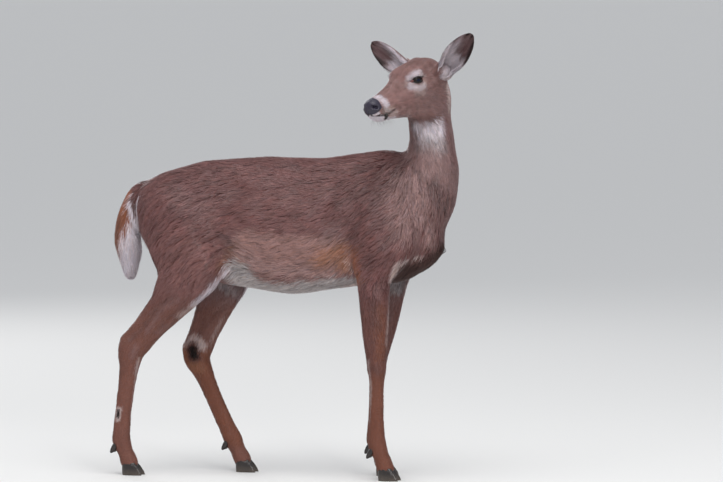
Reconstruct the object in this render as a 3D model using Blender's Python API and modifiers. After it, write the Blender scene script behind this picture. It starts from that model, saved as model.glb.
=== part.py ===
"""White-tailed deer doe, life size, standing with her head turned back over her right side.

Metres, +Z up. She stands along X with her chest towards +X, and her right side faces -Y.
The body is lofted from its bones and outlines, grown together into one skin by a voxel remesh,
and then parted with thin cuts into the pieces that a person would name.
"""

import math

import bmesh
import bpy
import numpy as np
from mathutils import Matrix, Vector

# ---------------------------------------------------------------- driving sizes

GAP = 0.0003  # clearance between neighbouring pieces
VOXEL = 0.0055  # grain of the remesh that grows the lofts together
RING_POINTS = 36  # points round every lofted section
STATION_STEP = 0.009  # spacing of the sections along a loft
HEAD_STATION_STEP = 0.006  # the same along the head
BODY_TRIANGLES = 4300  # what the whole body keeps before it is parted

# The head's own frame: the point midway between the eyes, the way it is turned, and its tilt.
EYES_MIDDLE = Vector((0.385, -0.122, 1.100))
HEAD_TURN = math.radians(-123)  # from the chest's direction, clockwise seen from above
HEAD_PITCH = math.radians(20)  # nose below the level

# Places on the head are ahead of, beside and above EYES_MIDDLE, in the head's own frame.
EYE_RADIUS = 0.0170
EYE_PLACE = (-0.005, 0.0385, 0.002)

# Each ear, from its root inside the head to its tip.
EAR_LENGTH = 0.172
EAR_WALL = 0.0034
EAR_ROOT = (-0.099, 0.048, -0.014)
EAR_LEAN = {  # its way to the tip
    "left": (-0.180, 0.750, 0.640),
    "right": (-0.020, -0.870, 0.493),
}
EAR_FACING = {  # where its hollow looks
    "left": (0.930, 0.300, -0.150),
    "right": (0.940, -0.050, 0.250),
}
EAR_BEND = 0.012  # how far the tip bows towards the front
EAR_STATIONS = 11
EAR_POINTS = 9  # across the ear, on each face

# Down the ear: share of its length, half its width laid flat, half the angle its curl takes.
EAR_SHAPE = (
    (0.00, 0.0340, 2.60),
    (0.15, 0.0420, 2.25),
    (0.30, 0.0475, 1.75),
    (0.45, 0.0480, 1.38),
    (0.60, 0.0440, 1.15),
    (0.75, 0.0350, 0.98),
    (0.87, 0.0260, 0.85),
    (0.95, 0.0170, 0.75),
    (1.00, 0.0065, 0.60),
)

# Hooves. Each foot has two claws side by side, a little apart at their tips.
HOOF_LENGTH = 0.060  # along the sole
HOOF_WIDTH = 0.0225  # each claw
HOOF_HEIGHT = 0.034  # of the front wall
HOOF_SPREAD = math.radians(7)
HOOF_RINGS = (  # up the wall: share of the height, how far it lies back, its length, its width
    (0.00, -0.003, 1.00, 1.00),
    (0.30, -0.001, 0.96, 1.04),
    (0.70, 0.003, 0.80, 0.98),
    (1.08, 0.007, 0.60, 0.80),
)
DEWCLAW_LENGTH = 0.026
DEWCLAW_HEIGHT = 0.082

# Trunk, from rump to breast: place along X, spine height, belly height, half width, how far below
# the middle the widest level lies (-1 to 1).
TRUNK = (
    (-0.408, 0.788, 0.700, 0.034, 0.00),
    (-0.392, 0.806, 0.650, 0.070, 0.00),
    (-0.350, 0.832, 0.602, 0.104, 0.00),
    (-0.290, 0.853, 0.570, 0.119, 0.05),
    (-0.220, 0.871, 0.552, 0.116, 0.10),
    (-0.150, 0.878, 0.533, 0.116, 0.18),
    (-0.085, 0.883, 0.522, 0.126, 0.22),
    (-0.020, 0.886, 0.512, 0.134, 0.22),
    (0.045, 0.884, 0.507, 0.136, 0.20),
    (0.120, 0.884, 0.516, 0.130, 0.20),
    (0.190, 0.892, 0.527, 0.117, 0.20),
    (0.250, 0.903, 0.534, 0.104, 0.20),
    (0.305, 0.908, 0.538, 0.096, 0.18),
    (0.355, 0.900, 0.546, 0.090, 0.12),
    (0.400, 0.872, 0.566, 0.080, 0.05),
    (0.440, 0.836, 0.597, 0.062, 0.00),
    (0.463, 0.790, 0.630, 0.040, 0.00),
)

# Neck, from inside the breast to the skull: centre, half depth from nape to throat, half width,
# and the compass direction of the nape in degrees (180 is straight back over the withers).
NECK = (
    (0.330, 0.000, 0.735, 0.150, 0.088, 180),
    (0.392, 0.000, 0.800, 0.120, 0.084, 180),
    (0.425, 0.000, 0.860, 0.087, 0.073, 172),
    (0.431, 0.000, 0.910, 0.069, 0.062, 150),
    (0.4300, -0.003, 0.955, 0.066, 0.0605, 118),
    (0.4265, -0.012, 1.000, 0.066, 0.0590, 88),
    (0.430, -0.026, 1.042, 0.067, 0.057, 68),
    (0.434, -0.040, 1.082, 0.055, 0.048, 58),
    (0.427, -0.052, 1.112, 0.034, 0.032, 58),
)

# Head, from poll to lips: place ahead of the eyes, crown, jaw, half width, widest level as above.
HEAD = (
    (-0.127, 0.006, -0.074, 0.030, 0.00),
    (-0.107, 0.028, -0.094, 0.043, -0.05),
    (-0.070, 0.041, -0.118, 0.0480, -0.10),
    (-0.030, 0.044, -0.124, 0.0490, -0.22),
    (0.000, 0.036, -0.111, 0.0485, -0.34),
    (0.030, 0.023, -0.095, 0.0425, -0.22),
    (0.060, 0.013, -0.085, 0.0355, -0.05),
    (0.090, 0.006, -0.077, 0.0305, 0.05),
    (0.112, 0.002, -0.072, 0.0275, 0.05),
    (0.132, 0.001, -0.066, 0.0265, -0.05),
    (0.145, -0.001, -0.059, 0.0250, -0.15),
    (0.154, -0.006, -0.050, 0.0215, -0.20),
    (0.158, -0.014, -0.040, 0.0130, -0.10),
)

# Tail, from its root down to the tuft: place, half depth front to back, half width.
TAIL = (
    (-0.372, 0.000, 0.800, 0.020, 0.022),
    (-0.408, 0.000, 0.786, 0.024, 0.027),
    (-0.430, 0.000, 0.748, 0.026, 0.034),
    (-0.442, 0.000, 0.700, 0.030, 0.041),
    (-0.443, 0.000, 0.650, 0.034, 0.045),
    (-0.437, 0.000, 0.605, 0.036, 0.043),
    (-0.434, 0.000, 0.565, 0.030, 0.033),
    (-0.434, 0.000, 0.540, 0.016, 0.018),
)

# Joints of each leg in order: place along X, sideways from the midline, height.
FORE_JOINTS = {
    "right": (
        (0.318, -0.040, 0.868),
        (0.318, -0.076, 0.690),
        (0.288, -0.088, 0.550),
        (0.2950, -0.080, 0.304),
        (0.2945, -0.075, 0.100),
        (0.3240, -0.075, 0.022),
    ),
    "left": (
        (0.318, 0.040, 0.868),
        (0.322, 0.076, 0.690),
        (0.300, 0.086, 0.550),
        (0.2580, 0.070, 0.304),
        (0.2560, 0.060, 0.100),
        (0.2855, 0.060, 0.022),
    ),
}
HIND_JOINTS = {
    "right": (
        (-0.282, -0.070, 0.745),
        (-0.192, -0.092, 0.572),
        (-0.397, -0.092, 0.354),
        (-0.436, -0.088, 0.100),
        (-0.4060, -0.088, 0.022),
    ),
    "left": (
        (-0.270, 0.070, 0.745),
        (-0.150, 0.092, 0.580),
        (-0.262, 0.082, 0.328),
        (-0.159, 0.072, 0.096),
        (-0.1220, 0.072, 0.022),
    ),
}

# Flesh round the joints' line: which bone and how far down it, flesh ahead of the line, flesh
# behind it, half width.
FORE_FLESH = (
    (0, 0.00, 0.045, 0.045, 0.014),
    (0, 0.50, 0.078, 0.074, 0.034),
    (0, 1.00, 0.092, 0.098, 0.045),
    (1, 0.50, 0.085, 0.087, 0.044),
    (1, 0.96, 0.049, 0.050, 0.036),
    (2, 0.33, 0.041, 0.040, 0.030),
    (2, 0.66, 0.034, 0.034, 0.0255),
    (2, 0.90, 0.0265, 0.0265, 0.0235),
    (3, 0.05, 0.0225, 0.0220, 0.0225),
    (3, 0.22, 0.0190, 0.0190, 0.0175),
    (3, 0.60, 0.0185, 0.0190, 0.0165),
    (3, 0.90, 0.0220, 0.0225, 0.0195),
    (4, 0.06, 0.0245, 0.0250, 0.0215),
    (4, 0.50, 0.0195, 0.0205, 0.0195),
    (4, 0.75, 0.0235, 0.0245, 0.0215),
    (4, 1.00, 0.0210, 0.0220, 0.0190),
)
HIND_FLESH = (
    (0, 0.05, 0.100, 0.118, 0.040),
    (0, 0.50, 0.082, 0.124, 0.050),
    (0, 0.98, 0.055, 0.128, 0.046),
    (1, 0.28, 0.048, 0.098, 0.037),
    (1, 0.52, 0.040, 0.062, 0.029),
    (1, 0.76, 0.034, 0.051, 0.0235),
    (1, 0.95, 0.036, 0.047, 0.0240),
    (2, 0.05, 0.031, 0.044, 0.0240),
    (2, 0.20, 0.0225, 0.0345, 0.0200),
    (2, 0.40, 0.0180, 0.0295, 0.0170),
    (2, 0.70, 0.0185, 0.0270, 0.0165),
    (2, 0.92, 0.0225, 0.0250, 0.0195),
    (3, 0.06, 0.0250, 0.0255, 0.0215),
    (3, 0.50, 0.0195, 0.0210, 0.0195),
    (3, 0.75, 0.0235, 0.0245, 0.0215),
    (3, 1.00, 0.0210, 0.0220, 0.0190),
)

# Swellings and hollows pressed into the flesh: from where to where, how far they reach round that
# line, and how high they stand, or with a minus how deep they sink. Each is made on both sides.
# On the head the places are ahead, beside and above, as in HEAD_FRAME.
HEAD_RELIEF = {
    "brow": ((-0.018, 0.040, 0.026), (0.012, 0.038, 0.024), 0.026, 0.0040),
    "cheekbone": ((-0.024, 0.048, -0.020), (0.010, 0.046, -0.022), 0.022, 0.0020),
    "jaw muscle": ((-0.050, 0.050, -0.050), (-0.025, 0.046, -0.068), 0.042, 0.0040),
    "hollow before the eye": ((0.034, 0.038, -0.014), (0.080, 0.031, -0.014), 0.026, -0.0035),
    "temple": ((-0.052, 0.046, 0.010), (-0.046, 0.046, -0.010), 0.024, -0.0030),
    "nostril wing": ((0.142, 0.026, -0.020), (0.146, 0.024, -0.020), 0.016, 0.0020),
    "mouth line": ((0.090, 0.034, -0.050), (0.156, 0.024, -0.043), 0.0080, -0.0022),
    "hollow over the jaw": ((0.020, 0.036, -0.076), (0.080, 0.026, -0.062), 0.024, -0.0015),
    "jaw corner": ((-0.058, 0.022, -0.112), (-0.044, 0.026, -0.112), 0.042, 0.0105),
}
CHIN = ((0.122, 0, -0.070), (0.140, 0, -0.066), 0.018, 0.0030)
TRUNK_RELIEF = {
    "hip point": ((-0.170, 0.085, 0.842), (-0.200, 0.092, 0.822), 0.060, 0.006),
    "flank hollow": ((-0.105, 0.110, 0.790), (-0.135, 0.116, 0.730), 0.075, -0.008),
    "furrow over the stifle": ((-0.118, 0.128, 0.620), (-0.175, 0.136, 0.700), 0.040, -0.007),
    "edge behind the shoulder": ((0.195, 0.132, 0.580), (0.225, 0.122, 0.740), 0.060, -0.008),
    "elbow": ((0.238, 0.118, 0.600), (0.258, 0.120, 0.575), 0.045, 0.007),
    "shoulder blade": ((0.262, 0.116, 0.800), (0.300, 0.118, 0.660), 0.075, 0.006),
    "point of the shoulder": ((0.378, 0.100, 0.640), (0.396, 0.085, 0.690), 0.050, 0.008),
    "hollow under the breast": ((0.414, 0.070, 0.610), (0.376, 0.058, 0.560), 0.036, -0.010),
    "hollow beside the breast": ((0.418, 0.066, 0.620), (0.436, 0.060, 0.700), 0.034, -0.007),
}
BREASTBONE = ((0.474, 0, 0.641), (0.462, 0, 0.637), 0.026, 0.010)

# ---------------------------------------------------------------- frames


def head_matrix():
    """Head frame to deer frame: X ahead to the nose, Y to the doe's left, Z up through the crown."""
    turned = Matrix.Rotation(HEAD_TURN, 4, "Z") @ Matrix.Rotation(HEAD_PITCH, 4, "Y")
    return Matrix.Translation(EYES_MIDDLE) @ turned


HEAD_FRAME = head_matrix()

# ---------------------------------------------------------------- lofts


def smooth_rows(rows, spacing=STATION_STEP):
    """The rows with more between them, on a Catmull-Rom curve through their first three columns."""
    rows = np.array(rows, float)
    padded = np.vstack([2 * rows[0] - rows[1], rows, 2 * rows[-1] - rows[-2]])
    made = []
    for a, b, c, d in zip(padded, padded[1:], padded[2:], padded[3:]):
        steps = max(1, round(float(np.linalg.norm((c - b)[:3])) / spacing))
        for t in np.arange(steps) / steps:
            made.append(
                0.5 * (2 * b + (c - a) * t + (2 * a - 5 * b + 4 * c - d) * t**2)
                + 0.5 * (3 * b - a - 3 * c + d) * t**3
            )
    made.append(rows[-1])
    return np.array(made)


def section(centre, ahead, sideways, front, back, half_width, widest=0.0):
    """One egg-shaped ring. It reaches front along ahead, back against it, and is widest at widest."""
    ring = []
    for angle in np.arange(RING_POINTS) * 2 * math.pi / RING_POINTS:
        along = math.cos(angle)
        level = along - widest * (1 - along * along)
        reach = front if level > 0 else back
        ring.append(centre + ahead * (level * reach) + sideways * (math.sin(angle) * half_width))
    return ring


def loft(name, rings):
    """A closed surface through rings of the same count, with a point closing each end."""
    mesh = bmesh.new()
    loops = [[mesh.verts.new(p) for p in ring] for ring in rings]
    count = len(loops[0])
    for loop, following in zip(loops, loops[1:]):
        for i in range(count):
            j = (i + 1) % count
            mesh.faces.new((loop[i], loop[j], following[j], following[i]))
    for loop in (loops[0], loops[-1]):
        middle = mesh.verts.new(sum((v.co for v in loop), Vector()) / count)
        for i in range(count):
            mesh.faces.new((loop[i], loop[(i + 1) % count], middle))
    bmesh.ops.recalc_face_normals(mesh, faces=mesh.faces)
    return mesh_object(name, mesh)


def mesh_object(name, mesh):
    """Turns a bmesh into an object in the scene, and frees the bmesh."""
    data = bpy.data.meshes.new(name)
    mesh.to_mesh(data)
    mesh.free()
    made = bpy.data.objects.new(name, data)
    bpy.context.scene.collection.objects.link(made)
    return made


def trunk_loft():
    rows = [(x, 0.0, 0.5 * (top + low), top, low, half, widest) for x, top, low, half, widest in TRUNK]
    up, side = Vector((0, 0, 1)), Vector((0, 1, 0))
    rings = []
    for x, _, middle, top, low, half, widest in smooth_rows(rows):
        centre = Vector((x, 0, middle))
        rings.append(section(centre, up, side, top - middle, middle - low, half, widest))
    return loft("trunk_loft", rings)


def neck_loft():
    rows = smooth_rows(NECK)
    tangents = np.gradient(rows[:, :3], axis=0)
    rings = []
    for row, tangent in zip(rows, tangents):
        axis = Vector(tangent).normalized()
        turn = math.radians(row[5])
        nape = Vector((math.cos(turn), math.sin(turn), 0))
        nape = (nape - axis * nape.dot(axis)).normalized()
        rings.append(section(Vector(row[:3]), nape, axis.cross(nape), row[3], row[3], row[4]))
    return loft("neck_loft", rings)


def head_loft():
    rows = [(s, 0.0, 0.5 * (top + low), top, low, half, widest) for s, top, low, half, widest in HEAD]
    up, side = Vector((0, 0, 1)), Vector((0, 1, 0))
    rings = []
    for s, _, middle, top, low, half, widest in smooth_rows(rows, HEAD_STATION_STEP):
        centre = Vector((s, 0, middle))
        rings.append(section(centre, up, side, top - middle, middle - low, half, widest))
    made = loft("head_loft", rings)
    made.data.transform(HEAD_FRAME)
    return made


def tail_loft():
    rows = smooth_rows(TAIL)
    tangents = np.gradient(rows[:, :3], axis=0)
    side = Vector((0, 1, 0))
    rings = []
    for row, tangent in zip(rows, tangents):
        ahead = side.cross(Vector(tangent)).normalized()
        rings.append(section(Vector(row[:3]), ahead, side, row[3], row[3], row[4]))
    return loft("tail_loft", rings)


def leg_loft(name, joints, flesh):
    """Flesh lofted along a leg's joints. Every section stands square to the leg's own line."""
    stations = []
    for bone, share, ahead, behind, half in flesh:
        place = Vector(joints[bone]).lerp(Vector(joints[bone + 1]), share)
        stations.append((*place, ahead, behind, half))
    rows = smooth_rows(stations)
    tangents = np.gradient(rows[:, :3], axis=0)
    side = Vector((0, 1, 0))
    rings = []
    for row, tangent in zip(rows, tangents):
        ahead = side.cross(-Vector(tangent)).normalized()
        rings.append(section(Vector(row[:3]), ahead, side, row[3], row[4], row[5]))
    return loft(name, rings)


# ---------------------------------------------------------------- growing the body together


def apply_all(obj):
    """Replaces an object's mesh by what its modifiers make of it."""
    bpy.context.view_layer.update()
    graph = bpy.context.evaluated_depsgraph_get()
    made = bpy.data.meshes.new_from_object(obj.evaluated_get(graph))
    obj.modifiers.clear()
    obj.data = made
    return obj


def joined(name, objects):
    """One object that holds the meshes of several, which are removed."""
    mesh = bmesh.new()
    for obj in objects:
        mesh.from_mesh(obj.data)
        bpy.data.objects.remove(obj)
    return mesh_object(name, mesh)


def remeshed(obj, voxel):
    grow = obj.modifiers.new("grow_together", "REMESH")
    grow.mode = "VOXEL"
    grow.voxel_size = voxel
    return apply_all(obj)


class Relief:
    """A mesh's points as arrays, for smoothing and for pressing hollows and swellings into it."""

    def __init__(self, obj):
        self.data = obj.data
        count = len(self.data.vertices)
        self.points = np.empty(count * 3)
        self.data.vertices.foreach_get("co", self.points)
        self.points = self.points.reshape(-1, 3)
        edges = np.empty(len(self.data.edges) * 2, int)
        self.data.edges.foreach_get("vertices", edges)
        self.edges = edges.reshape(-1, 2)
        self.degree = np.bincount(self.edges.ravel(), minlength=count)[:, None]

    def normals(self):
        self.store()
        found = np.empty(len(self.points) * 3)
        self.data.vertices.foreach_get("normal", found)
        return found.reshape(-1, 3)

    def pull(self):
        """From each point to the middle of its neighbours."""
        total = np.zeros_like(self.points)
        np.add.at(total, self.edges[:, 0], self.points[self.edges[:, 1]])
        np.add.at(total, self.edges[:, 1], self.points[self.edges[:, 0]])
        return total / self.degree - self.points

    def even_out(self, rounds):
        """Smooths without shrinking: each round moves in, then a little further out."""
        for _ in range(rounds):
            self.points += 0.50 * self.pull()
            self.points -= 0.52 * self.pull()

    def fill_creases(self, rounds, deepest=0.0002):
        """Fills only the hollow creases, as flesh does where one form runs into another."""
        for _ in range(rounds):
            pull = self.pull()
            outward = np.einsum("ij,ij->i", pull, self.normals())[:, None]
            self.points += 0.6 * pull * (outward > deepest)

    def press(self, start, end, radius, height):
        """Raises, or with a negative height sinks, what lies within radius of a line."""
        a, b = np.array(start, float), np.array(end, float)
        along = b - a
        share = (self.points - a) @ along / max(along @ along, 1e-9)
        nearest = a + np.clip(share, 0, 1)[:, None] * along
        distance = np.linalg.norm(self.points - nearest, axis=1) / radius
        weight = np.clip(1 - distance**2, 0, 1)[:, None] ** 2
        self.points += self.normals() * weight * height

    def store(self):
        self.data.vertices.foreach_set("co", self.points.astype(np.float32).ravel())
        self.data.update()


def on_head(ahead, sideways, up):
    return HEAD_FRAME @ Vector((ahead, sideways, up))


def shape_head(relief):
    """Brows, cheeks, the hollow before the eye, nose, lips and jaw, on both sides."""
    for side in (1, -1):
        for (x1, y1, z1), (x2, y2, z2), radius, height in HEAD_RELIEF.values():
            relief.press(on_head(x1, side * y1, z1), on_head(x2, side * y2, z2), radius, height)
    start, end, radius, height = CHIN
    relief.press(on_head(*start), on_head(*end), radius, height)


def shape_trunk(relief):
    """Hip points, flank hollows, shoulder edges, elbows, and the furrow over each stifle."""
    for side in (1, -1):
        for (x1, y1, z1), (x2, y2, z2), radius, height in TRUNK_RELIEF.values():
            relief.press((x1, side * y1, z1), (x2, side * y2, z2), radius, height)
    relief.press(*BREASTBONE)


def tendon_line(relief, upper, lower, outer, behind, depth):
    """The groove between a shank's bone and the tendon behind it, on one side of the leg."""
    beside = Vector((-behind, outer * 0.0175, 0))
    relief.press(upper.lerp(lower, 0.25) + beside, upper.lerp(lower, 0.85) + beside, 0.008, -depth)


def shape_legs(relief):
    """The groove before each Achilles tendon, the points of the hocks, and the tendon lines."""
    for joints in HIND_JOINTS.values():
        stifle, hock, fetlock = (Vector(joint) for joint in joints[1:4])
        shin = (hock - stifle).normalized()
        behind = shin.cross(Vector((0, 1, 0)))
        if behind.x > 0:
            behind.negate()
        for outer in (1, -1):
            across = Vector((0, outer, 0))
            upper = stifle.lerp(hock, 0.55) + behind * 0.030 + across * 0.030
            lower = stifle.lerp(hock, 0.93) + behind * 0.022 + across * 0.024
            relief.press(upper, lower, 0.016, -0.0055)
            tendon_line(relief, hock, fetlock, outer, 0.006, 0.0022)
        relief.press(hock + behind * 0.046, hock + behind * 0.050, 0.018, 0.004)  # its point
    for joints in FORE_JOINTS.values():
        knee, fetlock = (Vector(joint) for joint in joints[3:5])
        front, back = knee + Vector((0.022, 0, 0)), knee + Vector((-0.025, 0, 0))
        rise = Vector((0, 0, 0.010))
        relief.press(front + rise, front - rise, 0.020, 0.0020)
        relief.press(back + rise / 2, back - rise / 2, 0.014, 0.0030)
        for outer in (1, -1):
            tendon_line(relief, knee, fetlock, outer, 0.004, 0.0018)


def whole_body():
    parts = [trunk_loft(), neck_loft(), head_loft(), tail_loft(), ear_base("left"), ear_base("right")]
    for name, joints in FORE_JOINTS.items():
        parts.append(leg_loft("fore_" + name, joints, FORE_FLESH))
    for name, joints in HIND_JOINTS.items():
        parts.append(leg_loft("hind_" + name, joints, HIND_FLESH))
    body = remeshed(joined("body", parts), VOXEL)
    relief = Relief(body)
    relief.even_out(3)
    relief.fill_creases(26)
    relief.even_out(4)
    shape_head(relief)
    shape_trunk(relief)
    shape_legs(relief)
    relief.even_out(2)
    relief.store()
    return body


# ---------------------------------------------------------------- ears, eyes, hooves


def ear_frame(side):
    """Root, the way along the ear, the way its hollow faces, and across it."""
    mirror = 1 if side == "left" else -1
    root = Vector((EAR_ROOT[0], mirror * EAR_ROOT[1], EAR_ROOT[2]))
    along = Vector(EAR_LEAN[side]).normalized()
    facing = Vector(EAR_FACING[side])
    facing = (facing - along * facing.dot(along)).normalized()
    return root, along, facing, along.cross(facing)


def ear(side):
    """A curled leaf: rolled nearly into a tube at its root and opening into a scoop."""
    root, along, facing, across = ear_frame(side)
    table = np.array(EAR_SHAPE)
    turns = np.linspace(-1, 1, EAR_POINTS)
    mesh = bmesh.new()
    loops = []
    for share in np.linspace(0, 1, EAR_STATIONS) ** 0.85:
        half = np.interp(share, table[:, 0], table[:, 1])
        curl = np.interp(share, table[:, 0], table[:, 2])
        back = root + along * (share * EAR_LENGTH) + facing * (EAR_BEND * share**2)
        outer = half / curl
        loop = []
        for radius, order in ((outer, turns), (outer - EAR_WALL, turns[::-1])):
            for turn in order:
                lift = outer - radius * math.cos(curl * turn)
                place = back + facing * lift + across * (radius * math.sin(curl * turn))
                loop.append(mesh.verts.new(place))
        loops.append(loop)
    count = 2 * EAR_POINTS
    for loop, following in zip(loops, loops[1:]):
        for i in range(count):
            j = (i + 1) % count
            mesh.faces.new((loop[i], loop[j], following[j], following[i]))
    for loop in (loops[0], loops[-1]):
        for i in range(EAR_POINTS - 1):
            mesh.faces.new((loop[i], loop[i + 1], loop[count - 2 - i], loop[count - 1 - i]))
    bmesh.ops.recalc_face_normals(mesh, faces=mesh.faces)
    mesh.transform(HEAD_FRAME)
    return mesh_object("ear_" + side, mesh)


def ear_base(side):
    """The muscle that the ear stands on, which grows into the head."""
    root, along, facing, across = ear_frame(side)
    rings = []
    for share, radius in ((0.0, 0.026), (0.09, 0.0245), (0.17, 0.0200), (0.21, 0.0120)):
        centre = root + along * (share * EAR_LENGTH) + facing * 0.010
        rings.append(section(centre, facing, across, radius, radius, radius))
    made = loft("ear_base_" + side, rings)
    made.data.transform(HEAD_FRAME)
    return made


def eye(side, radius, name):
    mirror = 1 if side == "left" else -1
    place = on_head(EYE_PLACE[0], mirror * EYE_PLACE[1], EYE_PLACE[2])
    mesh = bmesh.new()
    bmesh.ops.create_uvsphere(mesh, u_segments=16, v_segments=10, radius=radius)
    outward = (HEAD_FRAME.to_3x3() @ Vector((0.30, mirror, 0.10))).to_track_quat("Z", "Y")
    mesh.transform(Matrix.Translation(place) @ outward.to_matrix().to_4x4())
    return mesh_object(name, mesh)


def hoof(name, foot, outer):
    """One claw of a foot: a pointed flat sole under a sloping wall, with its blunt heel behind."""
    ahead = Matrix.Rotation(outer * HOOF_SPREAD, 3, "Z") @ Vector((1, 0, 0))
    side = Vector((-ahead.y, ahead.x, 0))
    middle = Vector((foot.x, foot.y, 0)) + side * (outer * 0.0128)
    rings = []
    for share, back, length, width in HOOF_RINGS:
        ring = []
        for angle in np.arange(12) * 2 * math.pi / 12:
            forward = math.cos(angle)
            pointed = 1 - 0.42 * max(0.0, forward) ** 1.5
            reach = (0.58 if forward > 0 else 0.42) * HOOF_LENGTH * length * forward
            across = 0.5 * HOOF_WIDTH * width * math.sin(angle) * pointed
            level = Vector((0, 0, share * HOOF_HEIGHT))
            ring.append(middle + ahead * (reach - back) + side * across + level)
        rings.append(ring)
    return loft(name, rings)


def dewclaw(name, fetlock, outer):
    """A small blunt horn cone behind the pastern, pointing back and down."""
    root = Vector((fetlock.x - 0.012, fetlock.y + outer * 0.011, DEWCLAW_HEIGHT))
    along = Vector((-0.62, outer * 0.22, -0.95)).normalized()
    across = along.cross(Vector((0, 1, 0))).normalized()
    rings = []
    for share, radius in ((-0.25, 0.0095), (0.30, 0.0092), (0.75, 0.0062), (1.00, 0.0026)):
        centre = root + along * (share * DEWCLAW_LENGTH)
        ring = []
        for angle in np.arange(8) * 2 * math.pi / 8:
            spoke = across * math.cos(angle) + across.cross(along) * math.sin(angle)
            ring.append(centre + spoke * radius)
        rings.append(ring)
    return loft(name, rings)


# ---------------------------------------------------------------- parting the body


def thinned(body):
    """Takes the body down to its triangles, with the finest left on the head and the feet."""
    fine = body.vertex_groups.new(name="fine")
    for vertex in body.data.vertices:
        on_face = (vertex.co - EYES_MIDDLE).length < 0.20 and vertex.co.z > 0.99
        weight = 0.12 if on_face else 0.10 if vertex.co.z < 0.42 else 0.0
        fine.add([vertex.index], weight, "REPLACE")
    thin = body.modifiers.new("thin", "DECIMATE")
    thin.ratio = BODY_TRIANGLES / (2 * len(body.data.polygons))
    thin.vertex_group = fine.name
    thin.vertex_group_factor = 1.0
    thin.invert_vertex_group = True
    return apply_all(body)


def cutter(obj):
    """Moves a helper among the cutters, which no render shows."""
    for holder in list(obj.users_collection):
        holder.objects.unlink(obj)
    bpy.data.collections["cutters"].objects.link(obj)
    obj.hide_render = True
    obj.display_type = "WIRE"
    return obj


def thin_cut(name, centre, normal, width, height):
    """A slab as thick as the gap, square to normal, that parts one piece from the next."""
    mesh = bmesh.new()
    bmesh.ops.create_cube(mesh, size=1)
    mesh.transform(Matrix.Diagonal((width, height, GAP, 1)))
    turned = Vector(normal).to_track_quat("Z", "Y").to_matrix().to_4x4()
    mesh.transform(Matrix.Translation(centre) @ turned)
    return cutter(mesh_object(name, mesh))


def leg_cuts():
    """Across each leg: where it leaves the trunk, below its knee or hock, and above its pastern."""
    for side in ("right", "left"):
        elbow, knee, fetlock = (Vector(joint) for joint in FORE_JOINTS[side][2:5])
        thin_cut("cut_elbow_" + side, elbow.lerp(knee, 0.14), knee - elbow, 0.15, 0.15)
        thin_cut("cut_knee_" + side, knee.lerp(fetlock, 0.12), fetlock - knee, 0.09, 0.09)
        thin_cut("cut_fore_fetlock_" + side, knee.lerp(fetlock, 0.88), fetlock - knee, 0.09, 0.09)
        hip, stifle, hock, fetlock = (Vector(joint) for joint in HIND_JOINTS[side][:4])
        place = Vector((-0.245, stifle.y * 1.05, 0.537))
        thin_cut("cut_thigh_" + side, place, (0.32, 0, 0.947), 0.17, 0.34)
        thin_cut("cut_hock_" + side, hock.lerp(fetlock, 0.20), fetlock - hock, 0.10, 0.10)
        thin_cut("cut_hind_fetlock_" + side, hock.lerp(fetlock, 0.90), fetlock - hock, 0.09, 0.09)


def body_cuts():
    turned = HEAD_FRAME.to_3x3()
    thin_cut("cut_throat", on_head(-0.090, 0, -0.069), turned @ Vector((0.700, 0, 0.714)), 0.26, 0.26)
    thin_cut("cut_withers", (0.432, 0, 0.855), (0.635, 0, 0.773), 0.26, 0.30)
    thin_cut("cut_tail", (-0.409, 0, 0.720), (1, 0, 0), 0.16, 0.26)


def piece_places():
    """A point well inside each piece, by which it gets its name once the body has been parted."""
    places = {
        "head": on_head(-0.02, 0, -0.03),
        "neck": Vector((0.436, -0.01, 0.97)),
        "trunk": Vector((-0.02, 0, 0.70)),
        "tail": Vector((-0.443, 0, 0.66)),
    }
    for side in ("right", "left"):
        elbow, knee, fetlock, foot = (Vector(joint) for joint in FORE_JOINTS[side][2:])
        places["foreleg_upper_" + side] = elbow.lerp(knee, 0.6)
        places["foreleg_cannon_" + side] = knee.lerp(fetlock, 0.5)
        places["foreleg_pastern_" + side] = fetlock.lerp(foot, 0.3)
        stifle, hock, fetlock, foot = (Vector(joint) for joint in HIND_JOINTS[side][1:])
        places["hindleg_upper_" + side] = stifle.lerp(hock, 0.5)
        places["hindleg_cannon_" + side] = hock.lerp(fetlock, 0.55)
        places["hindleg_pastern_" + side] = fetlock.lerp(foot, 0.3)
    return places


def boolean(obj, operation, other=None, collection=None):
    step = obj.modifiers.new("cut", "BOOLEAN")
    step.operation = operation
    step.solver = "EXACT"
    if collection:
        step.operand_type = "COLLECTION"
        step.collection = collection
    else:
        step.object = other
    return apply_all(obj)


def loose_parts(obj):
    """Each connected part of a mesh, as a set of its vertices' indexes."""
    mesh = bmesh.new()
    mesh.from_mesh(obj.data)
    mesh.verts.ensure_lookup_table()
    unseen = set(range(len(mesh.verts)))
    parts = []
    while unseen:
        part = {unseen.pop()}
        edge = list(part)
        while edge:
            vertex = mesh.verts[edge.pop()]
            fresh = {link.other_vert(vertex).index for link in vertex.link_edges} - part
            part |= fresh
            edge.extend(fresh)
        unseen -= part
        parts.append(part)
    mesh.free()
    return parts


def parted(body):
    """Cuts the body and gives each piece the name of the place nearest to its middle."""
    boolean(body, "DIFFERENCE", collection=bpy.data.collections["cutters"])
    places = piece_places()
    pieces = {}
    for part in loose_parts(body):
        points = [body.data.vertices[i].co for i in part]
        middle = sum(points, Vector()) / len(points)
        name = min(places, key=lambda key: (places[key] - middle).length)
        mesh = bmesh.new()
        mesh.from_mesh(body.data)
        mesh.verts.ensure_lookup_table()
        bmesh.ops.delete(mesh, geom=[v for v in mesh.verts if v.index not in part], context="VERTS")
        bmesh.ops.dissolve_degenerate(mesh, edges=mesh.edges, dist=1e-6)
        pieces[name] = mesh_object(name, mesh)
    bpy.data.objects.remove(body)
    return pieces


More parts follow.
